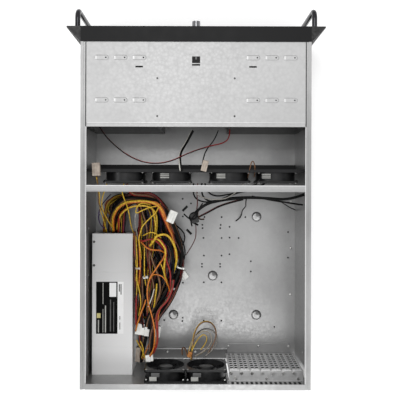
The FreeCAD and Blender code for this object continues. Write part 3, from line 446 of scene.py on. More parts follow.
def slot_vents():
    dark, rim = 1, 2
    first_cell, cell_pitch, cell_high, cell_half = 0.0125, 0.0136, 0.0096, 0.0027
    rim_low, rim_high, rim_half = 0.0104, 0.0126, 0.0029
    column_half = 0.0043
    back_face, dark_face, rim_face = 0.0003, 0.0007, 0.0012
    shape = bmesh.new()
    for number in range(1, 8):
        low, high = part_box(f"slot_cover_{number}")
        middle = (low.x + high.x) / 2
        near = low.y
        block(shape, (middle - 0.0088, near - 0.0004, 0.010), (middle + 0.0088, near, 0.122))
        for across in (middle - column_half, middle + column_half):
            for row in range(8):
                foot = first_cell + cell_pitch * row
                # A near-black cell of painted shade, topped by a raised rim in bright zinc as a
                # painted highlight.
                block(shape, (across - cell_half, near - dark_face, foot),
                      (across + cell_half, near - back_face, foot + cell_high), 0.0, dark)
                block(shape, (across - rim_half, near - rim_face, foot + rim_low),
                      (across + rim_half, near - back_face, foot + rim_high), 0.0003, rim)
        # Painted highlights: a bright strip down the cover's edge and a bright bead along the
        # ledge.
        block(shape, (low.x + 0.0002, near - 0.0013, 0.010), (low.x + 0.0011, near, 0.124),
              0.0003, rim)
        block(shape, (low.x, near - 0.0012, 0.1235), (high.x, near + 0.0012, 0.1276),
              0.0004, rim)
    # The rear vents are near-black plates of painted shade.
    first_vent, vent_pitch, vent_wide = -0.2035, 0.0092, 0.0050
    for number in range(15):
        left = first_vent + vent_pitch * number
        block(shape, (left, REAR - 0.0010, 0.131), (left + vent_wide, REAR - back_face, 0.149),
              0.0, dark)
    piece("slot_vents", shape, [ZINC_TAB, SHADE_BLACK, HIGHLIGHT_ZINC])


dress("slot_frame", ZINC_TAB)
for slot_number in range(1, 8):
    dress(f"slot_cover_{slot_number}", ZINC_TAB)
dress("slot_screws", SCREW)
slot_vents()


# ------------------------------------------------------------------ drive cages and bay cover
# Two folded cages of thin sheet under a plate that bridges the drive bays, their zinc painted
# dark as shade.  The plate has a window with a latch and a slit near its front edge, laid on as
# near-black fields of painted shade, and the sheet closes the modelled openings behind them.
ZINC_PLATE = zinc_sheet("zinc_plate", 0.465, 0.495, 0.5)
# Cage zinc painted dark: painted shade under the plate.
CAGE_SHADED = zinc_sheet("cage_sheet", 0.10, 0.15, 0.5)
PLATE_TOP = TOP - 0.0012


def cover_window():
    plate, dark, latch = 0, 1, 2
    half, latch_half = 0.0075, 0.0015
    shape = bmesh.new()
    # Painted shade: near-black fields for the window and the slit.
    for near, far in ((0.0273, 0.0396), (0.0414, 0.0444)):
        block(shape, (-half, FRONT + near, PLATE_TOP - 0.0004),
              (half, FRONT + far, PLATE_TOP + 0.0003), 0.0, dark)
    block(shape, (-latch_half, FRONT + 0.0275, PLATE_TOP),
          (latch_half, FRONT + 0.0330, PLATE_TOP + 0.0006), 0.0002, latch)
    for near, far in ((0.0454, 0.0581), (0.0599, 0.0636)):
        block(shape, (-half - 0.0001, FRONT + near, PLATE_TOP - 0.0010),
              (half + 0.0001, FRONT + far, PLATE_TOP), 0.0, plate)
    piece("cover_window", shape, [ZINC_PLATE, SHADE_BLACK, ZINC_SHADE])


dress("drive_cage_left", CAGE_SHADED)
dress("drive_cage_right", CAGE_SHADED)
dress("bay_cover", ZINC_PLATE)
cover_window()


# ------------------------------------------------------------------ cross brace and sheet edges
# A folded bar let in under the side lips.  Painted highlights lie on the folds of the lips, the
# brace and the bay cover and on the ends of the cover's embossed pads; painted shade lies in the
# joints beside the cover and along the brace's rear edge.
ZINC_BRACE = zinc_sheet("zinc_brace", 0.39, 0.43, 0.5)


def painted_sheet_edges():
    bright, dark, plain, soft = 0, 1, 2, 3
    sunk, proud = 0.0004, 0.0003
    plate_low, plate_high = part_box("bay_cover")
    brace_low, brace_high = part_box("cross_brace")
    neck = plate_high.x
    shape = bmesh.new()
    # Painted highlight along each lip's fold, and painted shade in the joint beside the cover.
    for side in (-1, 1):
        block(shape, (side * neck - 0.0005, plate_high.y, PLATE_TOP - sunk),
              (side * neck + 0.0005, REAR - 0.0110, PLATE_TOP + proud), 0.0, bright)
        joint = side * (neck + 0.0006)
        block(shape, (joint - 0.0008, plate_low.y + 0.0005, PLATE_TOP - sunk),
              (joint + 0.0008, plate_high.y, PLATE_TOP + proud), 0.0, dark)
    # Painted highlight on the brace's front fold, and painted shade in plain zinc along its rear
    # edge.
    brace_end = neck - 0.0006
    block(shape, (-brace_end, brace_low.y, brace_high.z - sunk),
          (brace_end, brace_low.y + 0.0012, brace_high.z + proud), 0.0, bright)
    block(shape, (-brace_end, brace_high.y - 0.0022, brace_high.z - sunk),
          (brace_end, brace_high.y, brace_high.z + 0.0002), 0.0, plain)
    # Painted highlight on the bay cover's rear fold.
    fold = plate_high.y - 0.0080
    block(shape, (-neck + 0.0018, fold, PLATE_TOP - 0.0005),
          (neck - 0.0018, fold + 0.0014, PLATE_TOP + proud), 0.0, soft)
    # Painted highlights on the ends of the embossed pads.
    to_pad_end, gleam_half = 0.0105, 0.0032
    for across in (0.176, 0.141, 0.106):
        for back in (0.0296, 0.1088):
            for side in (-1, 1):
                spot = placed((side * across + to_pad_end, back, 0.0))
                block(shape, (spot.x - 0.0020, spot.y - gleam_half, PLATE_TOP),
                      (spot.x + 0.0016, spot.y + gleam_half, TOP - 0.0001), 0.0003, soft)
    piece("painted_sheet_edges", shape, [HIGHLIGHT_ZINC, SHADE_BLACK, ZINC, ZINC_TAB])


dress("cross_brace", ZINC_BRACE)
painted_sheet_edges()


# ------------------------------------------------------------------ front
# Black painted front frame with a drop-down door on two pins, a chrome lock, two buttons, cast
# ears and tube handles.  The modelled shapes stay, so only finishes are given.
def plastic(name, dark, light, rough, scale=120.0, shine=0.4):
    """Moulded plastic with a faint cloudiness."""
    finish, tree, shader = new_finish(name, light, rough, shine=shine)
    cloud = mottled(tree, dark, light, scale)
    tree.links.new(cloud.outputs["Color"], shader.inputs["Base Color"])
    roughened(tree, shader, cloud.outputs["Value"], rough - 0.05, rough + 0.08)
    return finish


def speckled_ear():
    """Dark cast finish with small pits."""
    finish, tree, shader = new_finish("ear_grey", grey(0.4), 0.45, 0.3)
    cloud = mottled(tree, grey(0.008), grey(0.034), 190.0)
    pits = texture(tree, "ShaderNodeTexVoronoi", 260.0)
    multiplied(tree, shader, cloud.outputs["Color"],
               ranged(tree, pits.outputs["Distance"], 0.45, 1.0, 0.12, 0.3))
    bumped(tree, shader, pits.outputs["Distance"], 0.3, 0.0004)
    return finish


BLACK = satin_paint("black_paint", (0.003, 0.003, 0.0035), (0.006, 0.006, 0.0065), 0.46)
CHROME = polished("chrome", (0.12, 0.12, 0.125), (0.24, 0.24, 0.25), 0.12)
HANDLE = polished("handle_chrome", (0.022, 0.022, 0.024), (0.05, 0.05, 0.054), 0.14)
GREY_CAP = plastic("grey_cap", grey(0.08), grey(0.12), 0.5)
EAR = speckled_ear()

dress("front_frame", BLACK)
dress("front_door", BLACK)
dress("door_hinge_pins", SCREW)
for part in ("housing", "barrel"):
    dress("lock_" + part, CHROME)
for part in ("power", "reset"):
    dress(part + "_button", GREY_CAP)
for hand in ("left", "right"):
    dress("ear_" + hand, EAR)
    dress("handle_" + hand, HANDLE)


# ------------------------------------------------------------------ fan wall and fans
# Axial fans in a painted wall and in the rear panel: two square flanges joined by a round duct,
# four struts to the motor cup, a rotor of swept blades, and screws through the corners.
WALL_BLACK = satin_paint("wall_black", (0.010, 0.010, 0.0105), (0.016, 0.016, 0.017), 0.5)
FAN_BLACK = plastic("fan_black", (0.006, 0.006, 0.0065), (0.013, 0.013, 0.014), 0.36,
                    shine=0.35)
# Pale plastic for print on the supply label, also used for painted highlights on the fans.
LABEL_PALE_AND_HIGHLIGHT = plastic("label_pale_and_highlight", (0.44, 0.44, 0.42), (0.56, 0.56, 0.53), 0.4, 40.0)
LABEL_GREY = plastic("label_grey", grey(0.06), grey(0.12), 0.4, 60.0)
SCREW_INSET = 0.0043        # from a fan's side to the centre line of its screws


def ring_plate(shape, half, corner, bore, near, far):
    """A rounded square plate with a round hole, standing across the Y axis."""
    corner_steps = 9
    side_steps = 8
    middle = Vector((half - corner, half - corner))
    outer = []
    for quarter in range(4):
        turn = Matrix.Rotation(math.radians(90 * quarter), 2)
        for step in range(corner_steps):
            arc = math.radians(90 / (corner_steps - 1) * step)
            outer.append(turn @ (middle + Vector((math.cos(arc), math.sin(arc))) * corner))
        turn = Matrix.Rotation(math.radians(90 * (quarter + 1)), 2)
        start = outer[-1]
        finish = turn @ (middle + Vector((corner, 0.0)))
        outer += [start.lerp(finish, k / side_steps) for k in range(1, side_steps)]
    angles = [math.atan2(point.y, point.x) for point in outer]
    inner = [Vector((math.cos(a), math.sin(a))) * bore for a in angles]
    levels = [[shape.verts.new((point.x, depth, point.y)) for point in line]
              for line, depth in ((outer, near), (outer, far), (inner, far), (inner, near))]
    loft(shape, levels + levels[:1], smooth=False)


def turned(shape, profile, sides, material=0, upright=False):
    """A turned form: a profile of (radius, depth) points swept round the Y or the Z axis."""
    rings = []
    for radius, depth in profile:
        ring = []
        for k in range(sides):
            a = math.tau * k / sides
            across, up = radius * math.cos(a), radius * math.sin(a)
            ring.append(shape.verts.new((across, up, depth) if upright else (across, depth, up)))
        rings.append(ring)
    loft(shape, rings, material)
    return [vertex for ring in rings for vertex in ring]


def corner_spots(reach):
    return [(across, up) for across in (-reach, reach) for up in (-reach, reach)]


def fan_frame_shape(side, deep, bore):
    half = side / 2
    flange, corner, duct = 0.0036, 0.0045, 0.0016
    shape = bmesh.new()
    ring_plate(shape, half, corner, bore, 0.0, flange)
    ring_plate(shape, half, corner, bore, deep - flange, deep)
    wall = bore + duct
    turned(shape, [(wall, flange * 0.6), (wall, deep - flange * 0.6)], 96)
    turned(shape, [(bore, deep), (bore, 0.0)], 96)
    cup, cup_deep, rounding, pin = bore * 0.44, 0.0045, 0.0006, 0.0005
    turned(shape, [(pin, deep - cup_deep), (cup, deep - cup_deep), (cup, deep - rounding),
                   (cup - rounding, deep), (pin, deep)], 48)
    strut_angle, strut_deep, strut_high, overlap = 53, 0.0036, 0.0032, 0.003
    for number in range(4):
        tilt = Matrix.Rotation(-math.radians(strut_angle + 90 * number), 4, "Y")
        strut = Matrix.Translation(((cup + bore) / 2, deep - 0.0022, 0.0))
        size = Matrix.Diagonal((bore - cup + overlap, strut_deep, strut_high, 1.0))
        bmesh.ops.create_cube(shape, size=1.0, matrix=tilt @ strut @ size)
    eye_deep = 0.0018
    for across, up in corner_spots(half - SCREW_INSET):
        for depth in (flange, deep - flange - eye_deep):
            eye = turned(shape, [(0.0033, 0.0), (0.0033, eye_deep), (0.0020, eye_deep)], 14)
            bmesh.ops.transform(shape, matrix=Matrix.Translation((across, depth, up)), verts=eye)
    return shape


def blade(shape, root, reach, deep, start):
    """A swept and twisted blade: steep and narrow at the hub, flatter and wider at the tip."""
    rows, columns = 9, 7
    root_pitch, untwist, tip_sweep, belly, half_thick = 52, 22, 0.34, 0.0022, 0.0005
    grid = []
    for i in range(rows):
        t = i / (rows - 1)
        radius = root + (reach - root) * t
        pitch = math.radians(root_pitch - untwist * t)
        chord = deep * (0.92 + 0.28 * t)
        sweep = tip_sweep * t * t
        line = []
        for j in range(columns):
            u = j / (columns - 1) - 0.5
            rise = u * chord * math.sin(pitch) * 1.05
            camber = belly * (1 - 4 * u * u)
            around = start + sweep + (u * chord * math.cos(pitch) * 1.25) / radius
            line.append((radius * math.cos(around), rise + camber, radius * math.sin(around)))
        grid.append(line)
    low, high = [[[shape.verts.new((x, y + side, z)) for x, y, z in line] for line in grid]
                 for side in (-half_thick, half_thick)]
    for i in range(rows - 1):
        for j in range(columns - 1):
            for sheet in (low, high):
                face = shape.faces.new((sheet[i][j], sheet[i][j + 1], sheet[i + 1][j + 1],
                                        sheet[i + 1][j]))
                face.smooth = True
    edge = [(i, 0) for i in range(rows)] + [(rows - 1, j) for j in range(1, columns)]
    edge += [(i, columns - 1) for i in range(rows - 2, -1, -1)]
    for (i, j), (m, n) in zip(edge, edge[1:]):
        shape.faces.new((low[i][j], low[m][n], high[m][n], high[i][j]))


def rotor_shape(reach, deep):
    hub, pin = reach * 0.43, 0.0004
    label, label_thick = hub * 0.70, 0.0002
    front = -deep / 2 + 0.0032
    back = deep / 2 - 0.0062
    shape = bmesh.new()
    turned(shape, [(pin, front), (hub * 0.80, front), (hub * 0.94, front + 0.0006),
                   (hub, front + 0.0024), (hub, back), (pin, back)], 64)
    turned(shape, [(pin, front - label_thick), (label, front - label_thick),
                   (label, front + label_thick)], 48, 1)
    blades = 7
    for number in range(blades):
        blade(shape, hub - 0.0006, reach, (deep - 0.009) * 0.9, math.tau * number / blades)
    return shape


def body_holding(node):
    bodies = frame["record"]["behaviour"]["bodies"]
    return next(name for name, nodes in bodies.items() if node in nodes)


def fan(frame_node, rotor_node, screws_at):
    tip_gap = 0.0014
    low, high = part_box(frame_node)
    middle = (low + high) / 2
    deep = high.y - low.y
    side = high.x - low.x
    rotor_low, rotor_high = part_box(rotor_node)
    reach = (rotor_high.x - rotor_low.x) / 2
    shell = fan_frame_shape(side, deep, reach + tip_gap)
    bmesh.ops.translate(shell, vec=(middle.x, low.y, middle.z), verts=shell.verts)
    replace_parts(piece(frame_node + "_body", shell, [FAN_BLACK]), frame_node)
    wheel = rotor_shape(reach, deep)
    turn = Matrix.Rotation(0.37 * (1 + len(frame_node) + int(frame_node[-1])), 4, "Y")
    bmesh.ops.transform(wheel, matrix=Matrix.Translation(middle) @ turn, verts=wheel.verts)
    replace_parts(piece(rotor_node + "_wheel", wheel, [FAN_BLACK, LABEL_GREY],
                      body_holding(rotor_node)), rotor_node)
    screws = bmesh.new()
    for across, up in corner_spots(side / 2 - SCREW_INSET):
        for depth in screws_at:
            screw = turned(screws, [(0.0004, 0.0), (0.0022, 0.0), (0.0022, 0.0058),
                                    (0.0008, 0.0074), (0.0003, 0.0076)], 12)
            place = Matrix.Translation((middle.x + across, depth, middle.z + up))
            if depth > middle.y:
                place = place @ Matrix.Rotation(math.pi, 4, "Z")
            bmesh.ops.transform(screws, matrix=place, verts=screw)
    piece(frame_node + "_screws", screws, [SCREW])


def fan_top_highlights():
    """Painted light on the fan tops: a grey patch of painted shade beside a pale painted highlight
    on each rear fan, and three pale strips of painted highlight on three of the mid fans.
    """
    shape = bmesh.new()
    # On each rear fan, a grey patch of painted shade and a pale painted highlight.
    for number in (1, 2):
        low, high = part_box(f"rear_fan_frame_{number}")
        across = (low.x + high.x) / 2 + 0.017
        block(shape, (across - 0.0070, low.y + 0.0060, high.z - 0.0016),
              (across + 0.0090, low.y + 0.0140, high.z - 0.0009), 0.0003, 1)
        block(shape, (across - 0.0015, high.y - 0.0115, high.z - 0.0016),
              (across + 0.0125, high.y - 0.0030, high.z - 0.0008), 0.0003)
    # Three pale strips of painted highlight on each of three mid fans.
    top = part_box("fan_frame_2")[1].z
    for across in (0.060, -0.0486, -0.136):
        for back in (0.2445, 0.2480, 0.2515):
            block(shape, (across - 0.0085, FRONT + back, top - 0.0014),
                  (across + 0.0085, FRONT + back + 0.0016, top - 0.0006), 0.0002)
    piece("fan_top_highlights", shape, [LABEL_PALE_AND_HIGHLIGHT, ZINC_SHADE_MID])


dress("fan_wall", WALL_BLACK)
for row, count, before, behind in (("", 4, 0.0005, 0.0010), ("rear_", 2, 0.0006, 0.0004)):
    for fan_number in range(1, count + 1):
        fan_low, fan_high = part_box(f"{row}fan_frame_{fan_number}")
        fan(f"{row}fan_frame_{fan_number}", f"{row}fan_rotor_{fan_number}",
            (fan_low.y - before, fan_high.y + behind))
fan_top_highlights()


# ------------------------------------------------------------------ power supply
# Steel box with a folded cover: shallow seams, dark countersunk screws, a plastic inlet and
# rocker at the rear, and a bare label of plain colour fields on top.
def supply_skin():
    """Bare plated steel of the supply, painted paler towards its rear end as light against the
    shade there.
    """
    finish, tree, shader = new_finish("supply_skin", grey(0.58), 0.7)
    place = add(tree, "ShaderNodeTexCoord")
    split = add(tree, "ShaderNodeSeparateXYZ")
    tree.links.new(place.outputs["Object"], split.inputs["Vector"])
    # Painted light: the colour brightens towards the rear, where the walls shade the supply.
    pale = ranged(tree, split.outputs["Y"], 0.60, 0.95, FRONT + 0.40, FRONT + 0.65)
    cloud = mottled(tree, grey(0.98), grey(1.0), 7.0)
    multiplied(tree, shader, pale, cloud.outputs["Color"])
    return finish


PSU_SKIN = supply_skin()
BLACK_PLUG = plastic("black_plug", grey(0.01), grey(0.025), 0.4)
DARK_SCREW = polished("dark_screw", grey(0.05), grey(0.12), 0.35)
LABEL_FINISHES = [
    plastic("ink_black", grey(0.001), grey(0.002), 0.6, 40.0, 0.1),
    plastic("label_white", grey(0.86), grey(0.92), 0.4, 40.0),
    plastic("label_yellow", (0.62, 0.55, 0.22), (0.74, 0.66, 0.30), 0.4, 40.0),
    LABEL_PALE_AND_HIGHLIGHT,
    LABEL_GREY,
    plastic("ink_grey", grey(0.10), grey(0.20), 0.45, 40.0),
]


def supply_top(low, high, top):
    """Three skins with seams between them, and two countersunk screws."""
    seam = 0.0003
    shape = bmesh.new()
    edges = (low.y, FRONT + 0.4410, FRONT + 0.5925, high.y)
    for near, far in zip(edges, edges[1:]):
        block(shape, (low.x + 0.0002, near + seam, top - 0.0004),
              (high.x - 0.0002, far - seam, top + 0.0004), 0.0004)
    piece("supply_top", shape, [PSU_SKIN])
    screws = bmesh.new()
    for across, back in ((0.2035, 0.3803), (0.2035, 0.4276)):
        screw = turned(screws, [(0.0003, 0.0006), (0.0009, 0.0004), (0.0010, 0.0010),
                                (0.0022, 0.0008), (0.0026, 0.0)], 16, upright=True)
        bmesh.ops.translate(screws, vec=placed((across, back, top + 0.0003)), verts=screw)
    piece("supply_screws", screws, [DARK_SCREW])


def supply_label(top):
    """A black and a white half with plain boxes and bars on them."""
    black, white, yellow, pale, dim, ink = range(6)
    right, split, left = 0.1440, 0.1560, 0.1990
    start, stop = FRONT + 0.4604, FRONT + 0.5646
    glue, paper = top + 0.0003, top + 0.0006
    shape = bmesh.new()
    block(shape, (split, start, glue), (left, stop, paper), 0.0, black)
    block(shape, (right, start, glue), (split, stop, paper), 0.0, white)
    fields = [
        (0.1585, 0.1722, 0.4625, 0.4905, white),
        (0.1900, 0.1975, 0.5235, 0.5330, yellow),
        (0.1930, 0.1952, 0.5370, 0.5620, pale),
        (0.1845, 0.1857, 0.4625, 0.5050, pale),
        (0.1845, 0.1857, 0.5150, 0.5620, pale),
        (0.1790, 0.1812, 0.5080, 0.5620, pale),
        (0.1690, 0.1712, 0.4960, 0.5600, dim),
        (0.1628, 0.1644, 0.5010, 0.5600, dim),
        (0.1510, 0.1535, 0.4650, 0.4800, ink),
        (0.1480, 0.1500, 0.4650, 0.4860, ink),
        (0.1505, 0.1520, 0.5290, 0.5360, ink),
        (0.1505, 0.1520, 0.5420, 0.5560, ink),
    ]
    for low_x, high_x, near, far, colour in fields:
        block(shape, (low_x, FRONT + near, paper - 0.0001),
              (high_x, FRONT + far, paper + 0.00012), 0.0, colour)
    piece("supply_label", shape, LABEL_FINISHES)


for node in ("psu_case", "psu_cover"):
    dress(node, PSU_SKIN)
for node in ("psu_exit_plate", "psu_inlet", "psu_rocker"):
    dress(node, BLACK_PLUG)
for node in ("psu_fan_frame", "psu_fan_rotor"):
    dress(node, FAN_BLACK)
supply_low, supply_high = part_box("psu_case")
SUPPLY_TOP = max(supply_high.z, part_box("psu_cover")[1].z)
supply_top(supply_low, supply_high, SUPPLY_TOP)
supply_label(SUPPLY_TOP)


# ------------------------------------------------------------------ plugs
# Moulded connector bodies: a bevelled shell with rows of contact cells at both ends, ribs and a
# latch on top.  They stand for the modelled plugs, with one small orange plug at the rear.
WHITE_PLUG = plastic("white_plug", (0.72, 0.72, 0.69), (0.85, 0.85, 0.82), 0.35)
BEIGE_PLUG = plastic("beige_plug", (0.36, 0.30, 0.25), (0.52, 0.45, 0.38), 0.4)
ORANGE_PLUG = plastic("orange_plug", (0.42, 0.15, 0.03), (0.62, 0.27, 0.07), 0.4)


def plug_body(shape, centre, size, cells, turn, colour=0, cavity=1):
    """A connector whose length runs along Y before it is turned."""
    wide, long, high = size
    columns, rows = cells
    cell_wide = wide * 0.92 / columns
    cell_high = high * 0.84 / rows
    cell, cell_proud = min(cell_wide, cell_high) * 0.36, 0.0004
    rib, latch = 0.0006, 0.0022
    local = bmesh.new()
    block(local, (-wide / 2, -long / 2, -high / 2), (wide / 2, long / 2, high / 2), 0.0009,
          colour)
    for column in range(columns):
        x = (column + 0.5) * cell_wide - wide * 0.46
        for row in range(rows):
            z = (row + 0.5) * cell_high - high * 0.42
            for y in (-long / 2, long / 2):
                block(local, (x - cell, y - cell_proud, z - cell),
                      (x + cell, y + cell_proud, z + cell), 0.0, cavity)
        block(local, (x - rib, -long * 0.40, high / 2 - 0.0002),
              (x + rib, long * 0.12, high / 2 + rib), 0.0002, colour)
    block(local, (-wide * 0.13, -long * 0.30, high / 2),
          (wide * 0.13, long * 0.50, high / 2 + latch), 0.0006, colour)
    bmesh.ops.transform(local, matrix=Matrix.Translation(centre) @ turn, verts=local.verts)
    mesh = bpy.data.meshes.new("plug")
    bmesh.ops.recalc_face_normals(local, faces=local.faces[:])
    local.to_mesh(mesh)
    local.free()
    shape.from_mesh(mesh)
    bpy.data.meshes.remove(mesh)


def turned_by(angle, tilt=0.0, roll=0.0):
    return Euler([math.radians(value) for value in (tilt, roll, angle)]).to_matrix().to_4x4()


def plugs():
    low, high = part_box("board_plug")
    shape = bmesh.new()
    plug_body(shape, (low + high) / 2, (0.0500, 0.0225, 0.0105), (12, 2), turned_by(-8.0))
    board_plug = piece("board_plug_body", shape, [WHITE_PLUG, BLACK_PLUG])
    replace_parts(board_plug, "board_plug")
    beige, white, black, orange = range(4)
    shape = bmesh.new()
    for place, size, cells, angle, colour in (
            ((0.0910, 0.6100, 0.098), (0.0150, 0.0130, 0.0110), (3, 2), 6.0, white),
            ((0.1125, 0.6120, 0.064), (0.0185, 0.0290, 0.0150), (4, 2), -3.0, beige),
            ((0.1900, 0.2370, 0.146), (0.0150, 0.0250, 0.0110), (3, 1), 3.0, beige),
            ((-0.0170, 0.2300, 0.146), (0.0110, 0.0210, 0.0110), (3, 1), -14.0, beige),
            ((0.0110, 0.6080, 0.080), (0.0080, 0.0110, 0.0080), (2, 1), -20.0, orange),
            ((0.0020, 0.3320, 0.095), (0.0150, 0.0190, 0.0160), (2, 2), 12.0, black)):
        plug_body(shape, placed(place), size, cells, turned_by(angle), colour, black)
    lead_plugs = piece("lead_plug_bodies", shape,
                       [BEIGE_PLUG, WHITE_PLUG, BLACK_PLUG, ORANGE_PLUG])
    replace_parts(lead_plugs, "lead_plugs")
    return [board_plug, lead_plugs]


harness_ends = plugs()


# ------------------------------------------------------------------ wiring
# Stranded leads in coloured plastic insulation.  Three bundles sprawl out of the supply in an
# arc held by a few ties, thinner leads cross the fan wall, and single wires have sprung free.
MM = 1000                   # routes and thicknesses in this section are in millimetres

# Each lead: its thickness, the thickness over its spread wires, the number of wires, their
# colours in turn, material slot, and the control points of its modelled tube: distance to the
# left, distance back from the body's front, and height.
LEADS = {
    "main_harness": (13, 13, 30, "black red black black brown black black red black black",
                     "mixed_leads", [
        (166, 363.8, 66), (166, 326, 66), (152, 296, 82), (118, 281, 93), (78, 288, 97),
        (50, 332, 95), (30, 384, 84), (27, 440, 76), (50, 500, 78), (78, 534, 94), (88, 562, 100),
        (88, 596, 100)]),
    "side_harness": (10, 10, 18, "red black yellow orange black yellow purple red black brown",
                     "mixed_leads", [
        (190, 363.8, 40), (190, 313.5, 40), (175.3, 293.2, 43), (151.5, 285.5, 46),
        (127.7, 293.2, 47), (113, 313.5, 47), (114, 360, 45), (116, 440, 46), (112, 512, 50),
        (113, 562, 60), (113, 596, 60)]),
    "board_harness": (9, 9, 15, "black black red black yellow black green blue grey black",
                      "mixed_leads", [
        (147, 363.8, 70), (147, 320, 70), (135.4, 304, 74), (116.5, 298, 76), (97.7, 304, 76),
        (86, 320, 75), (85, 358, 72), (92, 420, 70), (88, 474, 76), (95, 514, 84), (95, 545, 84)]),
    "bay_leads": (3.2, 3.2, 2, "red black", "red_black_lead", [
        (212.3, 138, 116), (194, 139, 117), (184, 162, 121), (160, 188, 131), (128, 212, 142),
        (92, 226, 147), (52, 224, 150), (12, 204, 145), (-28, 190, 128), (-54, 184, 114),
        (-67, 173, 106), (-67, 156.05, 104)]),
    "drive_lead": (5, 7, 7, "black black black white black black black", "black_lead", [
        (6, 158.4, 110), (17, 180, 108), (30, 202, 124), (31, 219, 143.2), (28, 239.5, 142.6)]),
    "fan_lead_front": (3, 3, 2, "black black", "black_lead", [
        (-44, 158.4, 112), (-38, 176, 108), (-22, 194, 110), (-14, 214, 124), (-12, 235.3, 133)]),
    "fan_lead_left": (3, 3, 2, "yellow brown", "yellow_lead", [
        (190, 250.5, 146), (184, 284, 138), (188, 310, 122), (182, 338, 98), (180, 362.6, 74)]),
    "fan_lead_middle": (4, 4, 3, "black black grey", "black_lead", [
        (12, 263.05, 128), (2, 286, 126), (-34, 296, 124), (-72, 290, 126), (-92, 263.5, 129)]),
    "panel_lead": (5, 6.8, 6, "black black black black black", "black_lead", [
        (0, 320.5, 100), (-16, 304, 108), (-52, 295, 112), (-100, 290, 112), (-146, 292, 111),
        (-184, 295, 112), (-212.8, 284, 114)]),
    "panel_branch": (4, 5.2, 4, "black black black maroon", "black_lead", [
        (-7, 330, 92), (-26, 320, 95), (-54, 304, 100), (-94, 294.4, 107)]),
    "sensor_lead": (2.5, 2.5, 2, "maroon black", "red_black_lead", [
        (0, 342.2, 92), (-2, 360, 86), (2, 382, 78), (19.5, 408, 77)]),
    "rear_fan_lead": (5, 5, 4, "grey yellow brown black", "black_lead", [
        (8, 621.1, 72), (6, 596, 66), (2, 568, 58), (-12, 548, 54), (-32, 548, 52), (-44, 566, 52),
        (-40, 590, 56), (-26, 610, 62)]),
}
# Single wires that have sprung out of the bundles: colour, gauge and route.  Their ends run
# into the bundle, plug or sheet that holds them.
STRAYS = {
    "yellow_drop": ("yellow", 2.2, [
        (139, 263.5, 128), (143, 278, 136), (138, 293, 136), (134, 307, 118), (130, 327, 112),
        (129, 348, 96), (124, 368, 70), (116, 392, 50)]),
    "yellow_side": ("yellow", 2.2, [
        (172, 263.5, 128), (176, 280, 138), (181, 295, 136), (183, 309, 126), (178, 329, 108),
        (171, 346, 86), (167, 358, 68)]),
    "brown_side": ("brown", 2, [
        (188, 250.5, 146), (187, 280, 140), (189, 303, 130), (181, 321, 112), (172, 338, 84),
        (166, 354, 68)]),
    "purple_loop": ("purple", 2.2, [
        (176, 286, 50), (184, 300, 94), (192, 318, 104), (194, 340, 92), (187, 354, 76),
        (174, 360.5, 66)]),
    "yellow_arch": ("yellow", 2.4, [
        (69, 302, 106), (73, 311, 116), (78, 321, 119), (89, 331, 119), (99, 341, 118),
        (106, 350, 116), (109, 362, 113), (112, 372, 111), (111, 382, 109), (109, 397, 105),
        (108, 411, 98), (108, 429, 86)]),
    "yellow_loop": ("yellow", 2.2, [
        (88, 306, 110), (105, 300, 116), (113, 307, 118), (117, 315, 118), (117, 323, 117),
        (106, 317, 119), (97, 313, 119), (86, 309, 117), (74, 308, 110)]),
    "grey_arch": ("grey", 2, [
        (116, 317, 116), (118, 325, 117), (119, 333, 114), (119, 347, 106), (117, 362, 96),
        (116, 377, 84)]),
    "yellow_crown": ("yellow", 4.4, [
        (91, 387, 100), (87, 383, 108), (81, 374, 114), (76, 366, 118), (66, 363, 119),
        (56, 364, 118), (48, 372, 117), (42, 384, 115), (38, 396, 112), (37, 410, 109),
        (38, 421, 103), (42, 434, 95), (48, 451, 86)]),
    "orange_long": ("orange", 2.8, [
        (59, 398, 108), (62, 410, 117), (69, 418, 123), (78, 432, 125), (86, 442, 125),
        (91, 454, 124), (94, 469, 123), (94, 483, 122), (92, 497, 121), (88, 512, 119),
        (83, 530, 118), (80, 546, 118), (79, 560, 117), (80, 576, 114), (83, 594, 108),
        (91, 609, 102)]),
    "orange_short": ("orange", 2.4, [
        (89, 452, 108), (85, 442, 118), (76, 441, 120), (66, 444, 120), (60, 451, 117),
        (56, 459, 112), (52, 470, 104), (51, 482, 94)]),
    "black_upper": ("black", 3.4, [
        (-12, 263.2, 122), (-10, 282, 112), (-22, 298, 108), (-42, 298, 112), (-64, 288, 120),
        (-84, 280, 124), (-112, 276, 126), (-134, 263.2, 124)]),
    "black_lower": ("black", 3.4, [
        (-110, 288, 113), (-130, 292, 109), (-158, 297, 106), (-186, 301, 104), (-204, 304, 102),
        (-212.8, 305, 101)]),
    "black_knot": ("black", 3, [
        (4, 263.2, 120), (6, 280, 108), (0, 294, 104), (-16, 300, 104), (-40, 300, 106),
        (-60, 294, 110)]),
    "dark_red_rise": ("maroon", 2.2, [
        (-4, 263.2, 122), (-2, 284, 116), (-4, 300, 108), (-2, 318, 98), (0, 330, 98)]),
    "grey_swag": ("black", 3, [
        (-18, 263.2, 118), (-22, 280, 110), (-40, 289, 108), (-62, 285, 112), (-90, 279, 116),
        (-120, 263.2, 118)]),
    "thin_drop": ("black", 2.4, [
        (-100, 291.5, 110), (-100, 302, 90), (-103, 309, 66), (-97, 318, 38), (-98, 330, 12),
        (-93, 338, 3.5), (-86, 342.5, 3.5)]),
    "thin_side": ("black", 2.2, [
        (-160, 293.5, 110), (-170, 299, 92), (-184, 306, 68), (-198, 313, 40), (-212.6, 318, 22)]),
    "brown_tap": ("brown", 2, [
        (-114.5, 250, 116), (-114, 236, 146), (-110.5, 221, 150), (-106, 221, 149),
        (-103, 238, 144), (-102, 252, 116)]),
}
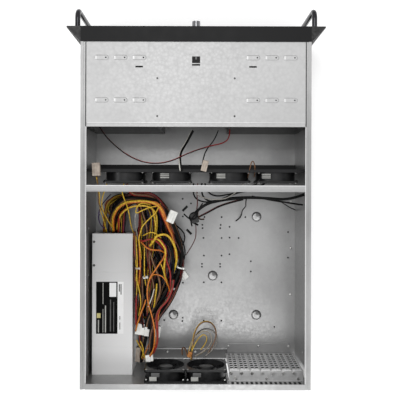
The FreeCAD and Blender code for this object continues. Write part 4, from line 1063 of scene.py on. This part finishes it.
# Wires that keep together for part of the way: thickness of the group, colours and route.
STRANDS = {
    "arc_strands": [
        (9, "black black brown black black", [
            (175, 362, 70), (174, 340, 84), (167, 322, 95), (157, 308, 101), (144, 296, 105),
            (130, 292, 106), (110, 293, 106), (90, 295, 106), (76, 299, 106), (69, 307, 105),
            (57, 320, 103), (47, 340, 101), (37, 363, 100), (31, 383, 98), (27, 408, 94),
            (30, 428, 92), (39, 452, 90), (48, 473, 88), (64, 493, 86), (80, 513, 88),
            (91, 532, 90), (93, 554, 92)]),
        (7, "yellow yellow orange yellow", [
            (167, 361, 72), (167, 338, 90), (161, 322, 103), (151, 309, 110), (137, 301, 114),
            (123, 299, 115), (103, 298, 115), (88, 300, 114), (76, 305, 112), (66, 317, 110),
            (59, 333, 106), (51, 353, 100), (45, 376, 94)]),
        (5, "yellow brown yellow", [
            (160, 357, 70), (155, 338, 92), (148, 325, 104), (137, 315, 110), (127, 310, 112),
            (115, 308, 112), (102, 307, 112), (88, 311, 110), (78, 323, 106), (77, 344, 98),
            (79, 360, 90)]),
        (5, "red orange red", [
            (158, 364, 66), (154, 348, 84), (154, 336, 96), (148, 322, 103), (136, 312, 106),
            (122, 308, 106)]),
        (7, "red red brown red", [
            (135, 264, 112), (132, 278, 108), (122, 286, 105), (110, 287, 104), (98, 287, 103),
            (87, 290, 102), (71, 302, 100), (61, 318, 98), (52, 340, 96), (43, 364, 92)]),
        (8, "red red orange red", [
            (75, 306, 106), (68, 319, 108), (64, 329, 108), (58, 341, 107), (53, 353, 105),
            (47, 365, 102), (42, 382, 97), (40, 400, 92), (44, 420, 88)]),
        (4.2, "orange orange", [
            (98, 298, 112), (88, 299, 114), (78, 300, 114), (70, 306, 113), (64, 316, 112),
            (60, 327, 110), (56, 339, 108), (50, 353, 104), (43, 372, 98)]),
        (4.4, "yellow green", [
            (84, 315, 108), (82, 325, 110), (79, 343, 108), (78, 359, 102), (78, 376, 90)]),
        (7, "black black brown black", [
            (110, 308, 104), (105, 324, 100), (99, 344, 96), (97, 364, 92), (100, 388, 88),
            (98, 413, 86), (92, 437, 86), (84, 461, 86)]),
    ],
    "crown_strands": [
        (2.2, "yellow", [
            (104, 367, 104), (94, 361, 112), (86, 359, 115), (76, 362, 114), (68, 371, 108)]),
        (8, "orange yellow orange red", [
            (87, 377, 104), (78, 371, 110), (70, 375, 114), (64, 383, 114), (59, 392, 112),
            (59, 404, 110), (61, 418, 108), (63, 434, 104), (61, 451, 98), (55, 468, 90)]),
        (6, "brown red brown", [
            (111, 376, 98), (105, 379, 102), (97, 375, 106), (87, 373, 108), (76, 377, 108),
            (67, 387, 104), (59, 399, 98)]),
        (4.5, "red orange", [
            (109, 379, 98), (99, 389, 104), (90, 394, 108), (78, 395, 108), (69, 395, 106),
            (59, 403, 98)]),
        (4.4, "red purple", [
            (60, 402, 108), (56, 418, 112), (51, 431, 112), (49, 443, 110), (49, 460, 106),
            (51, 475, 98), (57, 490, 90)]),
        (2.2, "yellow", [
            (71, 419, 104), (67, 424, 108), (63, 437, 109), (58, 451, 107), (55, 465, 100)]),
        (8, "black black black black", [
            (67, 376, 98), (55, 379, 104), (47, 395, 103), (44, 415, 101), (45, 435, 99),
            (49, 455, 96), (57, 476, 94), (69, 496, 94), (83, 516, 92), (92, 536, 90)]),
        (8, "black black brown black", [
            (91, 400, 92), (85, 420, 96), (77, 439, 98), (71, 459, 98), (71, 479, 97),
            (79, 499, 95), (89, 520, 92), (98, 540, 90), (100, 557, 88)]),
    ],
    "column_strands": [
        (2.4, "yellow", [
            (119, 368, 92), (117, 391, 102), (116, 407, 104), (115, 429, 104), (118, 453, 100),
            (119, 476, 90), (117, 499, 76)]),
        (2.2, "yellow", [
            (102, 387, 98), (101, 399, 104), (101, 410, 106), (101, 429, 106), (101, 449, 102),
            (99, 468, 92)]),
        (4, "orange brown", [
            (113, 368, 96), (111, 387, 104), (110, 406, 106), (109, 426, 104), (111, 447, 98),
            (113, 468, 92)]),
        (8, "brown black yellow red brown black", [
            (127, 368, 80), (123, 390, 88), (120, 420, 94), (116, 460, 96), (119, 500, 94),
            (115, 540, 88)]),
        (8, "red brown black orange black", [
            (114, 366, 84), (110, 396, 92), (106, 430, 96), (108, 470, 96), (112, 510, 92),
            (104, 552, 88)]),
        (7, "black yellow brown red black", [
            (92, 380, 88), (94, 410, 96), (90, 440, 98), (82, 470, 96), (86, 505, 92),
            (94, 548, 88)]),
        (6, "red black brown", [
            (123, 361, 80), (122, 384, 90), (121, 412, 94), (120, 440, 94), (119, 468, 94),
            (118, 496, 92), (119, 521, 88), (118, 550, 84)]),
        (2, "white", [
            (82, 473, 98), (84, 483, 104), (89, 497, 104), (94, 509, 98)]),
        (4.2, "yellow green", [
            (77, 463, 98), (77, 474, 104), (80, 492, 104), (81, 505, 98), (86, 521, 88)]),
        (2.2, "yellow", [
            (116, 456, 94), (113, 469, 100), (110, 483, 102), (108, 498, 102), (109, 511, 98),
            (114, 528, 90)]),
        (2.2, "brown", [
            (106, 447, 96), (106, 461, 101), (104, 483, 102), (105, 501, 98), (110, 521, 88)]),
        (4.2, "orange yellow", [
            (99, 495, 96), (101, 505, 102), (107, 517, 104), (111, 531, 104), (117, 548, 100),
            (119, 558, 94)]),
        (5, "red brown red", [
            (117, 464, 92), (118, 483, 96), (118, 503, 96), (119, 524, 94), (119, 546, 90)]),
        (7, "black black maroon", [
            (110, 397, 84), (110, 425, 86), (110, 457, 86), (108, 489, 86), (106, 517, 86),
            (108, 545, 88)]),
    ],
    "tail_strands": [
        (7, "orange orange red brown", [
            (44, 455, 96), (45, 469, 99), (50, 485, 100), (56, 497, 101), (66, 507, 103),
            (74, 517, 105), (77, 531, 106), (76, 544, 108), (74, 562, 110), (75, 578, 108),
            (81, 593, 104), (91, 607, 102)]),
        (2.2, "orange", [
            (59, 499, 98), (69, 510, 102), (73, 522, 104), (74, 535, 106), (74, 548, 108),
            (74, 564, 110), (78, 580, 108)]),
        (2.4, "red", [
            (75, 536, 108), (73, 551, 112), (73, 567, 112), (75, 584, 108), (83, 601, 102)]),
        (2.2, "yellow", [
            (118, 577, 88), (113, 586, 92), (106, 596, 92), (102, 611, 88), (98, 622, 84)]),
        (2.2, "yellow", [
            (110, 579, 90), (105, 587, 94), (103, 600, 92), (108, 615, 82)]),
        (2.2, "orange", [
            (91, 578, 92), (95, 589, 95), (99, 602, 92), (106, 617, 82)]),
        (2.2, "yellow", [
            (87, 576, 92), (86, 589, 96), (88, 603, 96), (92, 618, 92)]),
        (10, "black black black brown black", [
            (100, 572, 84), (104, 591, 82), (109, 608, 76), (111, 626, 70)]),
        (8, "black brown black", [
            (88, 571, 86), (88, 589, 88), (90, 605, 88), (92, 619, 88)]),
    ],
    "rear_loop_strands": [
        (4, "grey black", [
            (12, 614, 72), (10, 603, 66), (3, 589, 58), (-3, 573, 54), (-15, 563, 52),
            (-30, 564, 50), (-42, 572, 50), (-46, 584, 50), (-42, 598, 54), (-31, 609, 60),
            (-21, 614, 70)]),
        (4.5, "brown yellow grey", [
            (14, 612, 76), (12, 600, 70), (6, 586, 62), (-5, 572, 58), (-19, 566, 56),
            (-32, 573, 56), (-34, 587, 58), (-25, 600, 62), (-11, 609, 68), (1, 613, 74)]),
        (2, "yellow", [
            (10, 610, 78), (3, 593, 72), (-7, 578, 66), (-17, 571, 62), (-25, 578, 60),
            (-21, 592, 62), (-11, 602, 68)]),
        (3.6, "black brown", [
            (16, 613, 74), (18, 602, 70), (24, 598, 60), (28, 605, 60), (26, 612, 70)]),
    ],
    "knot_strands": [
        (4.5, "black black maroon", [
            (23, 324, 96), (15, 332, 102), (5, 335, 106), (-3, 329, 106), (-1, 320, 104),
            (9, 322, 102), (13, 332, 100), (5, 342, 96), (-5, 346, 90)]),
        (3.6, "black black", [
            (-10, 310, 104), (-5, 319, 106), (3, 327, 107), (11, 337, 104), (7, 348, 96)]),
        (3.6, "black brown", [
            (-14, 302, 104), (-7, 312, 106), (-3, 323, 105), (-7, 336, 100), (-17, 334, 96)]),
    ],
}
STRAND_OWNERS = {"rear_loop_strands": "rear_fan_lead", "knot_strands": "panel_lead"}
# Slack between two bundles: first and second bundle, wires, colours, gauge, lowest and highest
# lift, and seed.
SLACK = {
    "slack_black": ("main_harness", "board_harness", 30,
                    "black black brown black purple red black", 2.7, -45, -6, 31),
    "slack_colour": ("main_harness", "board_harness", 6, "maroon black brown black",
                     2.3, -4, 16, 32),
    "slack_side": ("board_harness", "side_harness", 12,
                   "black brown yellow black orange purple black", 2.4, -20, 10, 33),
    "slack_floor": ("main_harness", "side_harness", 16, "black black purple black blue",
                    2.8, -60, -30, 34),
}
WIRE_COLOURS = {
    "yellow": ((0.40, 0.23, 0.008), (0.72, 0.49, 0.04)),
    "orange": ((0.40, 0.10, 0.010), (0.64, 0.22, 0.025)),
    "red": ((0.16, 0.008, 0.008), (0.34, 0.022, 0.018)),
    "black": ((0.002, 0.002, 0.002), (0.008, 0.008, 0.008)),
    "purple": ((0.030, 0.018, 0.060), (0.075, 0.045, 0.13)),
    "green": ((0.03, 0.07, 0.02), (0.07, 0.14, 0.04)),
    "blue": ((0.015, 0.04, 0.12), (0.03, 0.08, 0.2)),
    "grey": ((0.20, 0.19, 0.17), (0.36, 0.34, 0.31)),
    "white": ((0.50, 0.48, 0.43), (0.74, 0.72, 0.66)),
    "maroon": ((0.050, 0.010, 0.010), (0.11, 0.024, 0.020)),
    "brown": ((0.10, 0.045, 0.022), (0.22, 0.11, 0.05)),
}
WIRES = {name: plastic("wire_" + name, dark, light, 0.33, 300.0,
                       0.12 if name == "black" else 0.4)
         for name, (dark, light) in WIRE_COLOURS.items()}


def placed_mm(point):
    return placed([value / MM for value in point])


def smooth_line(name, route):
    """Points read from a NURBS line that has the route as its control points."""
    data = bpy.data.curves.new(name + "_line", "CURVE")
    data.dimensions = "3D"
    data.resolution_u = 10
    spline = data.splines.new("NURBS")
    spline.points.add(len(route) - 1)
    for knot, point in zip(spline.points, route):
        knot.co = (*placed_mm(point), 1.0)
    spline.order_u = 3
    spline.use_endpoint_u = True
    guide = bpy.data.objects.new(name + "_line", data)
    mesh = bpy.data.meshes.new_from_object(guide)
    line = [vertex.co.copy() for vertex in mesh.vertices]
    bpy.data.objects.remove(guide)
    return line


def cord_length(line):
    return sum((b - a).length for a, b in zip(line, line[1:]))


def side_frames(line):
    """Direction ahead and two directions square to it at each point, without twist."""
    frames = []
    side = None
    for i in range(len(line)):
        ahead = (line[min(i + 1, len(line) - 1)] - line[max(i - 1, 0)]).normalized()
        if side is None:
            side = ahead.orthogonal().normalized()
        else:
            side = (side - ahead * side.dot(ahead)).normalized()
        frames.append((side, ahead.cross(side)))
    return frames


def tube_along(shape, path, radius, sides, material=0):
    """A round tube with closed ends along a list of points."""
    turns = [k * math.tau / sides for k in range(sides)]
    rings = [[shape.verts.new(point + (side * math.cos(a) + up * math.sin(a)) * radius)
              for a in turns] for point, (side, up) in zip(path, side_frames(path))]
    loft(shape, rings, material)
    for cap in (list(reversed(rings[0])), rings[-1]):
        shape.faces.new(cap).material_index = material


def random_waves(rng, low, high):
    """Three waves of random rate, start and size, as a function of the way along."""
    waves = [(rng.uniform(low, high), rng.uniform(0, 6.28), rng.uniform(0.3, 1.0))
             for _ in range(3)]
    return lambda along: sum(size * math.sin(rate * along + start)
                             for rate, start, size in waves) / 3


def draw_bundle(shape, line, thickness, colours, palette, seed):
    """Wires packed side by side that wander within the bundle's thickness."""
    rng = random.Random(seed)
    count = len(colours)
    filled, golden_angle, max_twist = 0.92, 2.39996, 9.0
    gauge = thickness / (2.0 * math.sqrt(count) * filled)
    frames = side_frames(line)
    for number, colour in enumerate(colours):
        reach = math.sqrt((number + 0.35) / count) * (thickness / 2 - gauge)
        twist = rng.uniform(-max_twist, max_twist)
        swing_at = random_waves(rng, 8, 34)
        path = []
        along = 0.0
        for i, point in enumerate(line):
            if i:
                along += (point - line[i - 1]).length
            swing = swing_at(along)
            angle = number * golden_angle + twist * along + 0.9 * swing
            out = reach * (1.0 + 0.35 * swing)
            side, up = frames[i]
            path.append(point + side * math.cos(angle) * out + up * math.sin(angle) * out)
        tube_along(shape, path, gauge * 0.94, 6, palette.index(colour))


def resampled(line, count):
    """Equally spaced points along a line."""
    wanted = cord_length(line) / (count - 1)
    points = [line[0]]
    walked = 0.0
    for a, b in zip(line, line[1:]):
        step = (b - a).length
        while walked + step >= wanted * len(points) - 1e-9 and len(points) < count:
            points.append(a.lerp(b, (wanted * len(points) - walked) / step))
        walked += step
    while len(points) < count:
        points.append(line[-1])
    return points


def draw_leads():
    """Each lead wire by wire, in place of its modelled tube."""
    lines, drawn = {}, {}
    for seed, (name, lead) in enumerate(LEADS.items()):
        _, spread, count, colours, slot, route = lead
        names = colours.split()
        palette = sorted(set(names))
        order = [names[k % len(names)] for k in range(count)]
        lines[name] = smooth_line(name, route)
        shape = bmesh.new()
        draw_bundle(shape, lines[name], spread / MM, order, palette, seed)
        drawn[name] = piece(name + "_wires", shape, [WIRES[key] for key in palette])
        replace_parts(drawn[name], name)
    return lines, drawn


def draw_slack(lines):
    """Slack wires of one bundle that spread towards a second one and return."""
    steps = 56
    least_height, bob = 0.006, 0.006
    rise_share, fall_share = 0.14, 0.16
    pieces = []
    for name, (first, second, count, colours, gauge, low, high, seed) in SLACK.items():
        names = colours.split()
        rng = random.Random(seed)
        palette = sorted(set(names))
        shape = bmesh.new()
        here = resampled(lines[first], steps)
        there = resampled(lines[second], steps)
        for number in range(count):
            share = (number + rng.uniform(0.0, 1.0)) / count
            swing_at = random_waves(rng, 1.0, 5.5)
            level = rng.uniform(low / MM, high / MM)
            path = []
            for i in range(steps):
                t = i / (steps - 1)
                ease = min(1.0, t / rise_share) * min(1.0, (1.0 - t) / fall_share)
                ease = ease * ease * (3.0 - 2.0 * ease)
                swing = swing_at(6.28 * t)
                point = here[i].lerp(there[i], (share * 1.05 + 0.30 * swing) * ease)
                point.z = max(point.z + (level + bob * swing) * ease, least_height)
                path.append(point)
            tube_along(shape, path, gauge / MM / 2, 6,
                       palette.index(names[number % len(names)]))
        pieces.append(piece(name, shape, [WIRES[key] for key in palette]))
    return pieces


def draw_strands():
    """The groups of STRANDS, with the leads that own them and the lines they follow."""
    owned, traced = {}, {}
    for seed, (name, strands) in enumerate(STRANDS.items(), start=60):
        traced[name] = [smooth_line(name, route) for _, _, route in strands]
        palette = sorted({colour for _, colours, _ in strands for colour in colours.split()})
        shape = bmesh.new()
        for number, (line, (thickness, colours, _)) in enumerate(zip(traced[name], strands)):
            names = colours.split()
            if len(names) == 1:
                tube_along(shape, line, thickness / MM / 2, 8, palette.index(colours))
            else:
                draw_bundle(shape, line, thickness / MM, names, palette, seed * 10 + number)
        strand = piece(name, shape, [WIRES[key] for key in palette])
        owned.setdefault(STRAND_OWNERS.get(name, "main_harness"), []).append(strand)
    return owned, traced


def tie(name, line, near, radius, colour):
    """A cable tie: a flat band round the bundle with its square head."""
    points = resampled(line, 101)
    nearest = min(range(100), key=lambda k: (points[k] - placed_mm(near)).length)
    spot = points[nearest]
    ahead = (points[nearest + 1] - spot).normalized()
    turn = ahead.to_track_quat("Z", "Y").to_matrix().to_4x4()
    radius = radius / MM
    half, thick = 0.0013, 0.0009
    shape = bmesh.new()
    rings = [level_ring(shape, (0, 0, 0), across, rise, 28)
             for across, rise in ((radius, -half), (radius, half), (radius + thick, half),
                                  (radius + thick, -half))]
    loft(shape, rings + rings[:1])
    block(shape, (radius - 0.0005, -0.0022, -0.002), (radius + 0.0035, 0.0022, 0.002), 0.0005)
    bmesh.ops.transform(shape, matrix=Matrix.Translation(spot) @ turn, verts=shape.verts)
    return piece(name, shape, [colour])


def ties_and_loose_plugs(traced):
    outer = traced["arc_strands"][0]
    columns = traced["column_strands"]
    pieces = [tie("tie_outer", outer, (31, 429, 92), 6.2, WHITE_PLUG),
              tie("tie_lower", outer, (48, 472, 88), 6.0, WHITE_PLUG),
              tie("tie_side", columns[0], (117, 431, 104), 3.0, BEIGE_PLUG),
              tie("tie_middle", columns[1], (102, 450, 102), 3.2, WHITE_PLUG)]
    shape = bmesh.new()
    for place, size, cells, turn in (
            ((47, 329, 112), (0.0150, 0.0240, 0.0110), (4, 2), turned_by(-24.0, 8.0, -10.0)),
            ((23.5, 448, 73), (0.0150, 0.0170, 0.0100), (3, 2), turned_by(34.0, -10.0, 12.0))):
        plug_body(shape, placed_mm(place), size, cells, turn)
    pieces.append(piece("loose_plugs", shape, [WHITE_PLUG, BEIGE_PLUG]))
    return pieces


def wiring():
    lines, drawn = draw_leads()
    harness_pieces = draw_slack(lines)
    owned, traced = draw_strands()
    harness_pieces += ties_and_loose_plugs(traced) + harness_ends
    for name, (colour, gauge, route) in STRAYS.items():
        line = smooth_line(name, route)
        shape = bmesh.new()
        tube_along(shape, line, gauge / MM / 2, 10)
        wire = piece(name, shape, [WIRES[colour]])


wiring()
